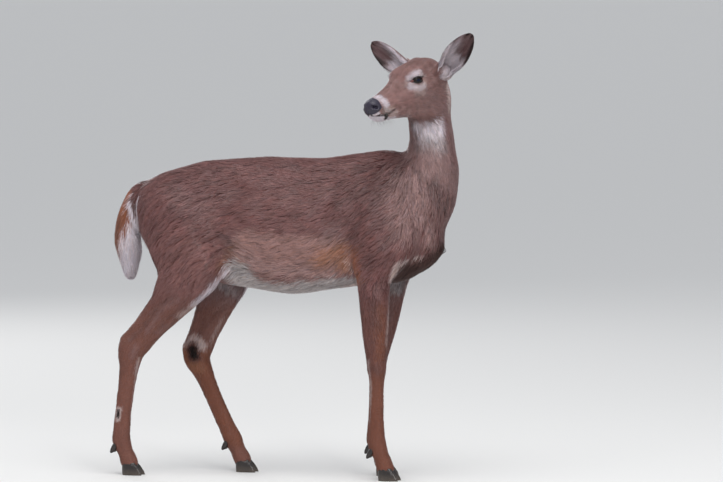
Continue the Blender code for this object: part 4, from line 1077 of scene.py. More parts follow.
# the same for the head, ahead, beside and above
HEAD_WASHES = (
    ("forehead", ((0.02, 0, 0.035), (-0.05, 0, 0.045)), 0.022, 0.022, 0.7),
    ("dark brown", ((-0.03, 0, 0.045), (-0.10, 0, 0.030)), 0.016, 0.022, 0.55),
    ("dark brown", ((0.108, 0, 0.003), (0.030, 0, 0.024)), 0.004, 0.014, 0.35),
    ("forehead", ((0.085, 0.033, -0.020), (0.040, 0.040, -0.030)), 0.014, 0.020, 0.7),
    ("grey tan", ((-0.02, 0.052, -0.060), (-0.055, 0.045, -0.090)), 0.020, 0.024, 0.5),
    ("white", ((-0.090, 0.078, 0.006), (-0.081, 0.074, -0.022)), 0.014, 0.010, 0.9),
    ("cream", ((-0.081, 0.072, -0.026), (-0.100, 0.045, -0.060)), 0.005, 0.010, 0.6),
    ("white", ((-0.010, 0.015, -0.130), (-0.045, 0.030, -0.138)), 0.010, 0.010, 0.85),
    ("white", ((0.022, 0.040, 0.012), (0.000, 0.046, 0.020), (-0.020, 0.048, 0.016)), 0.0070, 0.0080, 0.85),
    ("cream", ((0.030, 0.038, 0.010), (0.036, 0.037, 0.002)), 0.0030, 0.0080, 0.6),
    ("cream", ((-0.020, 0.048, 0.014), (-0.034, 0.048, 0.004)), 0.0030, 0.0070, 0.7),
    ("white", ((0.026, 0.040, -0.006), (0.004, 0.048, -0.018), (-0.014, 0.050, -0.018)),
     0.0060, 0.0080, 0.80),
    ("cream", ((0.012, 0.045, -0.026), (-0.008, 0.049, -0.034)), 0.0060, 0.0110, 0.60),
    ("cream", ((-0.014, 0.050, -0.016), (-0.030, 0.050, -0.008)), 0.0030, 0.0070, 0.60),
    ("dark brown", ((0.034, 0.038, -0.003), (0.044, 0.035, -0.009)), 0.0016, 0.0040, 0.45),
    ("pink", ((0.014, 0.043, 0.005), (0.024, 0.0405, 0.002)), 0.0012, 0.0018, 0.85),
    ("dark brown", ((0.024, 0.0405, 0.002), (0.028, 0.0390, -0.001)), 0.0006, 0.0016, 0.85),
    ("white", ((0.1200, 0.008, 0.000), (0.1180, 0.016, -0.004), (0.1130, 0.026, -0.020),
               (0.112, 0.028, -0.036)), 0.0075, 0.0070, 0.90),
    ("cream", ((0.118, 0.028, -0.040), (0.096, 0.030, -0.043)), 0.0045, 0.0060, 0.85),
    ("ochre", ((0.108, 0.030, -0.036), (0.090, 0.032, -0.040)), 0.0020, 0.0060, 0.45),
    ("white", ((0.1430, 0.024, -0.0385), (0.1540, 0.012, -0.0370)), 0.0030, 0.0026, 0.95),
    ("white", ((0.152, 0.004, -0.052), (0.138, 0.014, -0.058), (0.120, 0.014, -0.070)), 0.0130, 0.0040, 1.0),
    ("white", ((0.120, 0.012, -0.072), (0.090, 0.012, -0.078)), 0.0090, 0.0060, 0.9),
    ("cream", ((0.100, 0.024, -0.060), (0.086, 0.026, -0.060)), 0.0050, 0.0070, 0.8),
    ("shaded white", ((0.080, 0.006, -0.082), (0.040, 0.008, -0.098)), 0.0100, 0.0120, 0.5),
    # Painted shadow: dark under the back of the jaw, above the throat.
    ("smoke", ((0.020, 0.020, -0.110), (-0.030, 0.034, -0.122)), 0.0060, 0.0120, 0.55),
    ("black", ((0.1200, 0.0240, -0.0530), (0.1205, 0.0180, -0.0640)), 0.0064, 0.0026, 0.97),
    ("black", ((0.157, 0.004, -0.0390), (0.138, 0.021, -0.0462), (0.122, 0.0245, -0.0512),
               (0.105, 0.027, -0.0517), (0.092, 0.0285, -0.0480)), 0.0030, 0.0016, 0.95),
)


def washed(colours, tint, mask):
    """Lays a tint over the colours where the mask says."""
    return colours + (np.array(TINTS[tint]) - colours) * np.asarray(mask)[:, None]


def washes(colours, points, table, wobble):
    """Lays a whole table of washes over the colours, in its order."""
    for tint, line, reach, soft, strength in table:
        gap = near_line(points, line) + wobble * soft
        colours = washed(colours, tint, strength * soft_fall(gap, reach - 0.3 * soft, reach + soft))
    return colours


def on_parts(parts, *words):
    """True where the part's name holds any of these words."""
    return np.array([any(word in part for word in words) for part in parts])


EAR_EDGE = 0.043  # half the ear's width round its curl, at its widest
EAR_OUTLINE = (0, 0.45, 0.9, 1), (0.7, 1.0, 0.6, 0.3)  # share of its length, and how wide it is there


def ear_colours(colours, points, normals, parts):
    """Grey behind, and inside pale at the root and lower edge, dark at the tip and upper edge."""
    for name in EARS:
        here = parts == name
        share, across, _ = in_ear(points[here], name).T
        share = share + 0.05 * np.sin(across * 400)
        inside = soft_step(normals[here] @ np.array(ear_frame(name)[3]), 0.0, 0.35)
        front = -1 if name == "ear_left" else 1
        lower = across * front / EAR_HALF_WIDTH  # 1 on the ear's front, lower edge
        width = np.interp(share, *EAR_OUTLINE)
        tint = washed(colours[here], "ear grey", np.ones(here.sum()))
        tint = washed(tint, "dark brown", (1 - inside) * soft_step(share, 0.6, 1.0) * 0.5)
        tint = washed(tint, "ear inside", inside)
        reach = np.abs(across) / (EAR_EDGE * width)
        tint = washed(tint, "smoke", inside * soft_step(share, 0.74, 0.92) * 0.7)
        upper = soft_step(-lower / width, -0.1, 0.6) * soft_step(share, 0.25, 0.55)
        tint = washed(tint, "smoke", inside * upper * 0.35)
        white = soft_step(lower / width, -0.35, 0.45) * soft_fall(share, 0.50, 0.92)
        white = np.maximum(white, soft_fall(share, 0.36, 0.58))
        tint = washed(tint, "white", inside * white * 0.85)
        patch = soft_step(share, 0.36, 0.56) * soft_fall(share, 0.74, 0.92)
        patch *= soft_fall(reach, 0.20, 0.62)
        tint = washed(tint, "ear patch", inside * patch * 0.80)
        tint = washed(tint, "black", soft_step(reach, 0.80, 0.97) * soft_step(share, 0.50, 0.72) * 0.75)
        back_edge = soft_step(-lower / width, 0.62, 1.05) * soft_step(share, 0.40, 0.62)
        tint = washed(tint, "black", inside * np.maximum(back_edge, soft_step(share, 0.93, 0.98)) * 0.85)
        colours[here] = tint
    return colours


def mottle(points, size):
    """Soft uneven patches about this big, from -1 to 1, with no seam anywhere."""
    x, y, z = points.T * (2 * math.pi / size)
    waves = np.sin(x + 1.3 * np.sin(0.7 * z)) + np.sin(0.8 * z + 1.1 * np.sin(0.9 * y))
    waves += np.sin(0.9 * y + 0.6 * x + 0.5 * z)
    return waves / 3


# the edge of the white along the tail: heights, and the X that it reaches forward of
TAIL_EDGE = (0.62, 0.66, 0.70, 0.74, 0.80), (-0.532, -0.512, -0.495, -0.481, -0.465)


def leg_colours(colours, points, low_body, normals, parts):
    """Warmer brown down the legs, and pale inside them and under the body."""
    leg, fore = on_parts(parts, "leg"), on_parts(parts, "foreleg")
    inward = -normals[:, 1] * np.sign(points[:, 1] - SPINE_Y)
    low = soft_fall(points[:, 2], 0.26, 0.36)
    colours = washed(colours, "leg brown", leg * soft_fall(points[:, 2], 0.42, 0.56))
    colours = washed(colours, "leg rufous", leg * (0.4 + 0.4 * fore) * low)
    colours = washed(colours, "shank", leg * ~fore * soft_fall(points[:, 2], 0.42, 0.53) * 0.75)
    inside = soft_step(inward, 0.25, 0.8) * soft_step(points[:, 2], 0.45, 0.56)
    colours = washed(colours, "shaded white", inside * np.where(leg, 0.35 - 0.20 * fore, 0.85 * low_body))
    inner_leg = soft_step(inward, 0.25, 0.8) * leg * soft_step(points[:, 2], 0.10, 0.36)
    return washed(colours, "grey tan", inner_leg * 0.15)


def face_colours(colours, points, wobble):
    """A grizzled brown face with its marks, and the black nose pad, whose blue tint is a painted sheen."""
    head = mirrored_head(points)
    colours = washed(colours, "face brown", soft_step(head[:, 2], -0.135, -0.085))
    colours = washed(colours, "pale tan", 0.45 * soft_step(mottle(points, 0.030), 0.00, 0.60))
    colours = washed(colours, "dark brown", 0.38 * soft_step(-mottle(points + 0.011, 0.021), 0.05, 0.60))
    colours = washes(colours, head, HEAD_WASHES, wobble)
    return washed(colours, "nose", nose_pad(head))


def tail_colours(colours, points, beside, wobble):
    """Rufous, darker down its ridge, with a white edge and underside."""
    edge = np.interp(points[:, 2], *TAIL_EDGE)
    white = soft_step(points[:, 0] - edge + 0.004 * wobble, -0.004, 0.006)
    white *= soft_fall(points[:, 2], 0.778, 0.795)
    colours = washed(colours, "rufous", np.full(len(points), 0.97))
    ridge = soft_fall(beside, 0, 0.018) * soft_fall(points[:, 2], 0.70, 0.80)
    colours = washed(colours, "dark brown", ridge * 0.35)
    colours = washed(colours, "white", white)
    return washed(colours, "white", soft_fall(points[:, 2], 0.610, 0.645))


def markings_and_painted_light(points, normals, parts, wobble):
    """The colour of the coat at these places, with the painted shade and highlights that some washes lay on.
    Wobble, about -1 to 1, frays the edges of the washes.
    """
    body = mirrored_body(points)
    patchy = 1 + 0.10 * mottle(points, 0.05) + 0.06 * mottle(points, 0.018)
    colours = np.array(TINTS["brown"]) * patchy[:, None]
    colours = washed(colours, "grey tan", 0.24 * soft_step(mottle(points, 0.085), 0.10, 0.70))
    colours = washed(colours, "grey tan", on_parts(parts, "neck") * 0.7)
    colours = washes(colours, body, BODY_WASHES, wobble)
    tail, face = on_parts(parts, "tail"), on_parts(parts, "head")
    low_body = (body[:, 2] < 0.60) & ~tail
    colours = leg_colours(colours, points, low_body, normals, parts)
    for table in (PLAIN_WASHES, NEAR_FORELEG_WASHES, FAR_FORELEG_WASHES):
        colours = washes(colours, points, table, wobble)
    colours = np.where(face[:, None], face_colours(colours, points, wobble), colours)
    colours = np.where(tail[:, None], tail_colours(colours, points, body[:, 1], wobble), colours)
    return ear_colours(colours, points, normals, parts)


print("washes:", len(BODY_WASHES) + len(PLAIN_WASHES) + len(NEAR_FORELEG_WASHES) + len(HEAD_WASHES))

# %% Colour the skin
skin_points = points_of(skin)
skin_normals = table_of(skin.data.vertices, "normal")
skin_parts = parts_of(skin_points)
skin_parts[ear_start:ear_start + ear_sizes[0]] = EARS[0]
skin_parts[ear_start + ear_sizes[0]:] = EARS[1]


def store_colours(mesh, name, colours, extra):
    """Keeps a colour, and one more value as its alpha, at each vertex."""
    layer = mesh.color_attributes.new(name, "FLOAT_COLOR", "POINT")
    layer.data.foreach_set("color", np.column_stack([colours, extra]).astype(np.float32).ravel())


skin_colours = markings_and_painted_light(skin_points, skin_normals, skin_parts, np.zeros(len(skin_points)))
bare = nose_pad(mirrored_head(skin_points)) * on_parts(skin_parts, "head")
store_colours(skin.data, "markings_and_painted_light", skin_colours, bare)
print("skin parts:", sorted(set(skin_parts))[:6], "...")

# %% [markdown]
# ## The coat
# Hair could be a particle system, but that is lost when a model is exported, so each lock is real
# mesh: a narrow keel-shaped blade of six triangles that starts in the skin, bends with the body,
# and ends in a point at the coat's surface. A quarter of a million of them overlap like thatch.
# Three rules make them look grown and not strewn. They follow the guides. Neighbours lean together
# into ridges, as damp hair combs itself. And no two have quite the same length or shade.

# %% Where each lock grows
RANDOM = np.random.default_rng(1706)
ANYWHERE = -9, 9
# coat piece: words in its parts' names, the span of X it covers, locks, width in mm
COATS = {
    "coat_face": (("head",), ANYWHERE, 33000, 0.95),
    "coat_ears": (("ear_",), ANYWHERE, 23000, 1.25),
    "coat_neck": (("neck",), ANYWHERE, 30000, 1.5),
    "coat_shoulders": (("trunk",), (0.135, 9), 32500, 1.8),
    "coat_ribs": (("trunk",), (-0.135, 0.135), 33000, 2.0),
    "coat_rump": (("trunk",), (-9, -0.135), 32500, 1.9),
    "coat_forelegs": (("foreleg",), ANYWHERE, 24000, 1.3),
    "coat_hindlegs": (("hindleg",), ANYWHERE, 30000, 1.4),
    "coat_tail": (("tail",), ANYWHERE, 13000, 2.4),
}

skin.data.calc_loop_triangles()
skin_faces = table_of(skin.data.loop_triangles, "vertices", 3, np.int32)
skin_tree = BVHTree.FromPolygons(skin_points.tolist(), skin_faces.tolist())
edge_a = skin_points[skin_faces[:, 1]] - skin_points[skin_faces[:, 0]]
edge_b = skin_points[skin_faces[:, 2]] - skin_points[skin_faces[:, 0]]
face_area = np.linalg.norm(np.cross(edge_a, edge_b), axis=1) / 2
face_parts = skin_parts[skin_faces[:, 0]]
face_middle = skin_points[skin_faces].mean(axis=1)
print("skin area m2:", round(face_area.sum(), 3))
MOUTH_BARE, DUCT_BARE = 0.0021, 0.0014  # m from these lines
LID_BARE, LID_RISE = 1.5, 0.0035  # out to this by slit_measure, and m over the ball
EAR_BARE = 0.16  # share of its length, where its root is inside the head
FACE_CLOSER = 2.2  # how much more hair grows on the muzzle than on the crown


def hidden(points, parts):
    """Where no hair grows: on the nose pad, in the mouth's line, on the eyeballs, inside the head."""
    head = mirrored_head(points)
    none = (nose_pad(head) > 0.3) & on_parts(parts, "head")
    none |= near_line(head, FACE_FOLDS["parting of the lips"][0]) < MOUTH_BARE
    none |= near_line(head, FACE_FOLDS["tear duct"][0]) < DUCT_BARE
    for side in (1, -1):
        local, distance, measure = round_eye(points, side)
        over_lid = (local[:, 2] > 0) & (distance < EYE_SIZE + LID_RISE)
        none |= (measure < LID_BARE) & over_lid
    for name in EARS:
        none |= (parts == name) & (in_ear(points, name)[:, 0] < EAR_BARE)
    return none


def roots(words, span, count):
    """Even random places on the skin of these parts: point, normal and part."""
    here = on_parts(face_parts, *words) & (face_middle[:, 0] >= span[0]) & (face_middle[:, 0] < span[1])
    here &= ~hidden(face_middle, face_parts)
    chosen = np.flatnonzero(here)
    level = face_area[chosen].copy()
    if "head" in words:  # the shorter hair grows closer
        level *= 1 + FACE_CLOSER * soft_step(mirrored_head(face_middle[chosen])[:, 0], -0.05, 0.09)
    reached = np.cumsum(level)
    steps = (np.arange(count) + RANDOM.random(count)) * reached[-1] / count
    faces = chosen[np.searchsorted(reached, steps).clip(0, len(chosen) - 1)]
    u, v = RANDOM.random((2, count))
    flip = u + v > 1
    u[flip], v[flip] = 1 - u[flip], 1 - v[flip]
    corners = skin_faces[faces]
    mix = np.column_stack([1 - u - v, u, v])[:, :, None]
    normals = (skin_normals[corners] * mix).sum(axis=1)
    return (
        (skin_points[corners] * mix).sum(axis=1),
        normals / np.linalg.norm(normals, axis=1)[:, None],
        face_parts[faces],
    )


# %% The way each lock lies
def unit(vectors):
    return vectors / np.maximum(np.linalg.norm(vectors, axis=1), 1e-9)[:, None]


def laid(ways, normals):
    """Ways turned to lie in the skin."""
    return unit(ways - normals * (ways * normals).sum(axis=1)[:, None])


def onto_skin(points):
    """The nearest places on the skin, and the normals there."""
    found = [skin_tree.find_nearest(Vector(p)) for p in points]
    return np.array([f[0] for f in found]), np.array([f[1] for f in found])


def ear_hair(points, normals, parts, ways, length, depth):
    """Hair on the ears runs to the tip. Inside, long hair leans over the hollow from both edges."""
    for name in EARS:
        here = parts == name
        share, across, _ = in_ear(points[here], name).T
        _, along, crossing, facing = (np.array(way) for way in ear_frame(name))
        inside = soft_step(normals[here] @ facing, 0.0, 0.35)
        lean = inside[:, None] * -np.sign(across)[:, None] * crossing * 0.35
        ways[here] = along + lean
        long = inside * soft_fall(share, 0.35, 0.75)
        length[here] = (5.0 + 2.5 * inside + 10 * long) * MM
        depth[here] = (1.2 + 0.6 * inside + 4.5 * long) * MM
    return ways, length, depth


def ear_root_hair(points, ways, length, depth):
    """On the head where an ear begins, long pale hair runs up into the ear and closes its mouth."""
    for name in EARS:
        share, across, out = in_ear(points, name).T
        near = soft_step(share, -0.02, 0.10) * soft_fall(np.hypot(across, out), 0.030, 0.045)
        near *= soft_fall(mirrored_head(points)[:, 2], 0.020, 0.036)
        ways = ways * (1 - near[:, None]) + np.array(ear_frame(name)[1]) * near[:, None]
        length = length + near * 0.012
        depth = depth + near * 0.0035
    return ways, length, depth


CLUMPS = {  # part: how wide a ridge of hair is in mm, and how strongly locks lean together
    "trunk": (12, 0.45), "neck": (13, 0.60), "tail": (12, 0.45),
    "head": (6, 0.25), "leg": (5, 0.20), "ear": (6, 0.4),
}
LOCKS_IN_RIDGE = 42
RIDGES_NEAR = 7  # how many ridges a lock chooses from
RIDGE_STRETCH = 3.2  # how much longer than wide a ridge is


def combed_into_ridges(points, ways, normals, parts):
    """For each lock: how far it grows beside its ridge's crest, in ridge widths, the width, how
    strongly it leans there, and the ridge's number."""
    width = np.full(len(points), 0.008)
    pull = np.full(len(points), 0.4)
    for word, (broad, strong) in CLUMPS.items():
        here = on_parts(parts, word)
        width[here], pull[here] = broad * MM, strong
    picked = RANDOM.choice(len(points), len(points) // LOCKS_IN_RIDGE, replace=False)
    tree = KDTree(len(picked))
    for i, index in enumerate(picked):
        tree.insert(Vector(points[index]), i)
    tree.balance()
    near = np.array([[f[1] for f in tree.find_n(Vector(p), RIDGES_NEAR)] for p in points])
    gap = points[:, None] - points[picked][near]
    along = (gap * ways[:, None]).sum(axis=2)
    beside = np.cross(normals, ways)
    across = (gap * beside[:, None]).sum(axis=2)
    score = (along / RIDGE_STRETCH) ** 2 + across**2
    best = score.argmin(axis=1)
    rows = np.arange(len(points))
    return np.clip(across[rows, best] / width, -1.2, 1.2), width, pull, near[rows, best]


print("ridges:", CLUMPS)


# %% Build the locks
LOCK_FACES = np.array([(0, 1, 4), (0, 4, 3), (1, 2, 5), (1, 5, 4), (3, 4, 6), (4, 5, 6)])
LOCK_ACROSS = np.array([-0.5, 0, 0.5, -0.5, 0, 0.5, 0])  # its corners laid flat
MIDWAY = 0.45  # how far along it a lock bends
LOCK_ALONG = np.array([0, 0, 0, MIDWAY, MIDWAY, MIDWAY, 1.0])
LOCK_CORNERS = len(LOCK_ALONG)
PATCH = 0.003  # a lock's share of its piece's map


def unwrapped(points, normals, parts):
    """Each root's place on the skin slit open and rolled flat, part by part, from 0 to 1 both ways."""
    names = sorted(set(parts))
    flat = np.empty((len(points), 2))
    for column, name in enumerate(names):
        here = parts == name
        some = points[here]
        along = some[:, 2]
        if name.startswith("ear_"):
            along, across, _ = in_ear(some, name).T
            front = normals[here] @ np.array(ear_frame(name)[3]) > 0
            turn = (across / 0.1 + 0.5 + front) / 2
        elif name == "head":
            along, beside, up = moved(some, TO_HEAD).T
            turn = np.arctan2(beside, up + 0.04) / (2 * math.pi) + 0.5
        elif name == "trunk":
            along = some[:, 0]
            turn = np.arctan2(some[:, 1] - SPINE_Y, 0.70 - some[:, 2]) / (2 * math.pi) + 0.5
        else:
            off = some - some.mean(axis=0)
            slope = (off[:, :2] * off[:, 2:]).sum(axis=0) / (off[:, 2] ** 2).sum()
            level = off[:, :2] - off[:, 2:] * slope
            turn = np.arctan2(level[:, 1], level[:, 0]) / (2 * math.pi) + 0.5
        along = (along - along.min()) / np.ptp(along)
        turn = np.clip(turn, 0, 1)
        flat[here] = np.column_stack([(column + 0.02 + 0.96 * turn) / len(names), 0.01 + 0.98 * along])
    return flat


def mesh_piece(name, corners, faces):
    """A mesh object from arrays of corners and triangles."""
    mesh = bpy.data.meshes.new(name)
    mesh.vertices.add(len(corners))
    mesh.vertices.foreach_set("co", corners.astype(np.float32).ravel())
    mesh.loops.add(faces.size)
    mesh.loops.foreach_set("vertex_index", faces.astype(np.int32).ravel())
    mesh.polygons.add(len(faces))
    mesh.polygons.foreach_set("loop_start", np.arange(len(faces), dtype=np.int32) * 3)
    mesh.update(calc_edges=True)
    return new_object(name, mesh)


def lock_piece(name, base, normals, parts, corners, shades):
    """One mesh of many locks, with their colours and their map."""
    faces = (LOCK_FACES[None] + LOCK_CORNERS * np.arange(len(base))[:, None, None]).reshape(-1, 3)
    piece = mesh_piece(name, corners.reshape(-1, 3), faces)
    store_colours(piece.data, "markings_and_painted_light", shades.reshape(-1, 3), np.zeros(LOCK_CORNERS * len(base)))
    flat = unwrapped(base, normals, parts)[:, None]
    flat = flat + np.column_stack([LOCK_ACROSS, LOCK_ALONG - 0.5]) * PATCH * 0.95
    layer = piece.data.uv_layers.new(name="OFBake")
    layer.data.foreach_set("uv", flat.reshape(-1, 2)[faces.ravel()].astype(np.float32).ravel())
    print(name, "triangles:", len(faces))
    return piece


TICKING = 0.75  # how strongly the pale band near each hair's tip shows
TICKED = {3: 0.06, 4: 0.10, 5: 0.06, 6: 0.34}  # and how much of it each corner of a lock takes


def lock_shades(tints, across, shade_of_ridge, contrast):
    """Colour at a lock's seven corners: dark at the root, paler along it, with a shade of its own, and darker
    where ridges part, as painted shade.
    """
    own = RANDOM.normal(1.0, 0.05 + 0.14 * contrast, len(tints)) * shade_of_ridge
    # Locks at the edges of a ridge, where ridges part, are darkened: painted shade in the partings.
    own *= 1.06 - 0.26 * across**2 * contrast
    brightness = tints.mean(axis=1)
    pale = soft_step(brightness, 0.18, 0.45)
    root = 1 - contrast * (0.58 - 0.34 * pale)
    edge, ridge, tip = np.full(len(tints), 0.90), np.full(len(tints), 0.97), 1 + 0.20 * contrast
    levels = np.column_stack([root, root, root, edge, ridge, edge, np.broadcast_to(tip, len(tints))])
    shades = tints[:, None] * (levels * own[:, None])[:, :, None]
    ticked = (1 - soft_step(brightness, 0.16, 0.30)) * soft_step(brightness, 0.03, 0.08)
    for corner, share in TICKED.items():
        ticking = (share * TICKING * ticked)[:, None]
        shades[:, corner] += (np.array(TINTS["ticking"]) - shades[:, corner]) * ticking
    warm = RANDOM.normal(0, 0.035, len(tints))[:, None, None] * np.array([1, 0, -1])
    return np.clip(shades * (1 + warm), 0.002, 0.85)


# %% Grow the coat, piece by piece
BODY_CONTRAST = 0.55  # how far hairs differ from root to tip and from each other
CONTRAST = {
    "coat_face": 0.30, "coat_ears": 0.40, "coat_neck": 0.60,
    "coat_forelegs": 0.22, "coat_hindlegs": 0.22,
}
KEEL = 0.30  # how high a lock's keel stands, in widths
ROOT_DEPTH = 0.0006
SPLAY, TAIL_SPLAY = 0.09, 0.13  # how far locks stray from the guides, and how much more at the tail's end
WAVES = 0.20, 115, 2.5, 70  # long hair sways this far, so often along X, bent this far, so often in height


def bent_over(base, ways, lean, length, depth):
    """A lock follows the skin: its middle and its tip, and the skin's normal under the middle."""
    half_skin, half_normal = onto_skin(base + ways * (length * MIDWAY)[:, None] + lean * 0.35)
    onward = laid(ways * length[:, None] * 0.55 + lean * 0.65, half_normal)
    tip_skin, tip_normal = onto_skin(half_skin + onward * (length * 0.55)[:, None])
    middle = half_skin + half_normal * (depth * 0.66)[:, None]
    return middle, tip_skin + tip_normal * depth[:, None], half_normal


def keeled(base, normals, middle, half_normal, tip, wide):
    """A lock's seven corners: three at its root, sunk in the skin, three midway, and its tip."""
    keel = np.linalg.norm(wide, axis=1)[:, None] * KEEL
    corners = np.stack([
        base + wide * 0.40, base + normals * keel * 0.6, base - wide * 0.40,
        middle + wide * 0.5, middle + half_normal * keel, middle - wide * 0.5, tip,
    ], axis=1)
    corners[:, :3] -= (normals * ROOT_DEPTH)[:, None]
    return corners


def grown(name, words, span, count, width_mm):
    """A piece of the coat, of so many locks this wide."""
    base, normals, parts = roots(words, span, count)
    ways, length, depth = combed(base)
    if name == "coat_ears":
        ways, length, depth = ear_hair(base, normals, parts, ways, length, depth)
    if name == "coat_face":
        ways, length, depth = ear_root_hair(base, ways, length, depth)
    wobble = RANDOM.normal(0, 0.35, count)
    long_hair = soft_step(length, 0.020, 0.030)
    sway, along_x, bend, in_height = WAVES
    ways[:, 2] += sway * long_hair * np.sin(base[:, 0] * along_x + bend * np.sin(base[:, 2] * in_height))
    splay = SPLAY + TAIL_SPLAY * (name == "coat_tail") * soft_fall(base[:, 2], 0.60, 0.74)[:, None]
    ways = laid(ways + RANDOM.normal(0, splay, (count, 3)), normals)
    across, ridge_width, pull, ridge = combed_into_ridges(base, ways, normals, parts)
    contrast = CONTRAST.get(name, BODY_CONTRAST)
    ridge_tone = RANDOM.normal(1.0, 0.18 * contrast, count)[ridge]
    beside = np.cross(normals, ways)
    length = length * RANDOM.normal(1.0, 0.16, count).clip(0.6, 1.5)
    crest = 1 - np.minimum(np.abs(across), 1) ** 2
    depth = depth * (0.70 + 0.26 * crest + RANDOM.normal(0, 0.08, count))
    lean = -(across * ridge_width * pull)[:, None] * beside
    middle, tip, half_normal = bent_over(base, ways, lean, length, depth)
    wide = (width_mm * MM * RANDOM.normal(1.0, 0.2, count).clip(0.5, 1.6))[:, None] * beside
    corners = keeled(base, normals, middle, half_normal, tip, wide)
    shades = lock_shades(markings_and_painted_light(base, normals, parts, wobble), across, ridge_tone, contrast)
    return lock_piece(name, base, normals, parts, corners, shades)


coats = [grown(name, *row) for name, row in COATS.items()]

# %% [markdown]
# ## Lashes and whiskers
# Two kinds of hair stand clear of the coat. The upper lid carries dark lashes about a centimetre
# long, and stiff whiskers two or three times as long stand out round the nose, the chin and the
# eyes. They are the same keeled blade as a lock, drawn out thin, each along its own arc.

# %% Lashes and whiskers
def hair_arcs(starts, ways, sag, length, thick):
    """Thin blades from these starts, along these ways, that bend over by sag."""
    middle = starts + ways * (length * MIDWAY)[:, None] + sag * (length * 0.16)[:, None]
    tip = starts + ways * (length * 0.92)[:, None] + sag * (length * 0.52)[:, None]
    beside = unit(np.cross(ways, sag)) * thick[:, None]
    keel = unit(np.cross(beside, ways)) * thick[:, None]
    return np.stack([
        starts + beside * 0.5, starts + keel * 0.6, starts - beside * 0.5,
        middle + beside * 0.4, middle + keel * 0.5, middle - beside * 0.4, tip,
    ], axis=1)


# where whiskers stand in the head frame: from, to, how many, length in mm, and shade
WHISKER_ROWS = (
    ((0.120, 0.028, -0.028), (0.140, 0.027, -0.034), 16, 22, 0.30),
    ((0.108, 0.029, -0.040), (0.134, 0.026, -0.040), 18, 27, 0.25),
    ((0.110, 0.020, -0.066), (0.148, 0.006, -0.060), 17, 27, 0.30),
    ((0.090, 0.014, -0.078), (0.130, 0.004, -0.069), 10, 23, 0.25),
    ((0.004, 0.047, -0.030), (0.018, 0.044, -0.026), 5, 30, 0.05),
    ((-0.014, 0.042, 0.031), (0.008, 0.038, 0.031), 6, 28, 0.05),
)
LASHES = 46
LASH_THICK, WHISKER_THICK = 0.00050, 0.00038
LASH_COLOUR = 0.012, 0.009, 0.009
turn = HEAD.to_3x3()
starts, ways, sags, lengths, thicks, shade_rows = [], [], [], [], [], []
for side in (1, -1):
    middle, slit, up, outward = eye_frame(side)
    for i in range(LASHES):
        angle = math.radians(18 + 140 * (i + RANDOM.random()) / LASHES)
        place = lid_place(angle, 1.03, 1.5)
        flat = Vector((place.x * 0.6, place.y, 0)).normalized()
        starts.append(middle + slit * place.x + up * place.y + outward * place.z)
        away = slit * flat.x * 0.9 + up * flat.y * 0.35 + outward * (0.9 + 0.2 * RANDOM.random())
        ways.append(away.normalized())
        sags.append(up * (0.5 + 0.4 * RANDOM.random()) - outward * 0.2)
        lengths.append((0.0065 + 0.0045 * math.sin(angle)) * (0.8 + 0.4 * RANDOM.random()))
        thicks.append(LASH_THICK)
        shade_rows.append(LASH_COLOUR)
    for first, last, count, length_mm, shade in WHISKER_ROWS:
        for i in range(count):
            share = (i + RANDOM.random()) / count
            a, b, c = np.array(first) * (1 - share) + np.array(last) * share + RANDOM.normal(0, 0.002, 3)
            foot, up_there, _, _ = skin_tree.find_nearest(HEAD @ Vector((a, side * b, c)))
            starts.append(foot - up_there * 0.001)
            ways.append((up_there * 0.8 + turn @ Vector((0.1, side * 0.2, -0.45))).normalized())
            sags.append(turn @ Vector((-0.7, 0, -0.5 + 0.3 * RANDOM.random())))
            lengths.append(length_mm * MM * (0.7 + 0.5 * RANDOM.random()))
            thicks.append(WHISKER_THICK)
            shade_rows.append((shade, shade * 0.9, shade * 0.85))
starts, ways, sags = np.array(starts), np.array(ways), np.array(sags)
corners = hair_arcs(starts, ways, sags, np.array(lengths), np.array(thicks))
shades = np.repeat(np.array(shade_rows)[:, None], LOCK_CORNERS, axis=1)
head_only = np.full(len(starts), "head")
whiskers = lock_piece("lashes_and_whiskers", starts, ways, head_only, corners, shades)

# %% [markdown]
# ## Hooves
# Each toe stands in a shell of horn, flat below and rounded in front, with fine rings where it has
# grown down from the hair. Two small dewclaws hang behind. The solids have the shape in flat
# facets. A copy of each is remeshed finely and relaxed, with its sole kept level on the floor, and
# low rings are raised round it.

# %% Hooves and dewclaws
HORN_NODES = [node for node in NODES if node.split("_")[0] in ("hoof", "dewclaw")]
HORN_VOXEL = 0.0016
RING_GAP, RING_RISE = 0.0042, 0.00012
RING_SLANT = 0.35  # how steeply rings fall away from the horn's middle
SOLE_DEPTH = 0.0004  # what lies this near the floor is sole, and stays level
horns = []
for node in HORN_NODES:
    horn = copy_of(node, "horn_" + node)
    applied(horn, "REMESH", mode="VOXEL", voxel_size=HORN_VOXEL)
    shape = Relief(horn)
    floor_level = max(shape.points[:, 2].min(), 0)
    on_floor = shape.points[:, 2] < floor_level + SOLE_DEPTH
    is_hoof = node.startswith("hoof")
    free = np.where(on_floor & is_hoof, 0.0, 1.0)[:, None]
    shape.relax(5, free)
    shape.even_out(6, free)
    middle = shape.points.mean(axis=0)
    level = shape.points[:, 2] + RING_SLANT * np.hypot(*(shape.points - middle)[:, :2].T)
    ring = np.sin(level / RING_GAP * 2 * math.pi) * RING_RISE
    side_on = 1 - soft_step(np.abs(shape.normals()[:, 2]), 0.6, 0.9)
    shape.points += shape.normals() * (ring * side_on)[:, None] * free
    if is_hoof:
        shape.points[:, 2] = np.maximum(shape.points[:, 2], floor_level)
        shape.points[on_floor, 2] = floor_level
    shape.store()
    horns.append(horn)
hooves = joined(horns, "hooves")
print("hooves faces:", len(hooves.data.polygons))

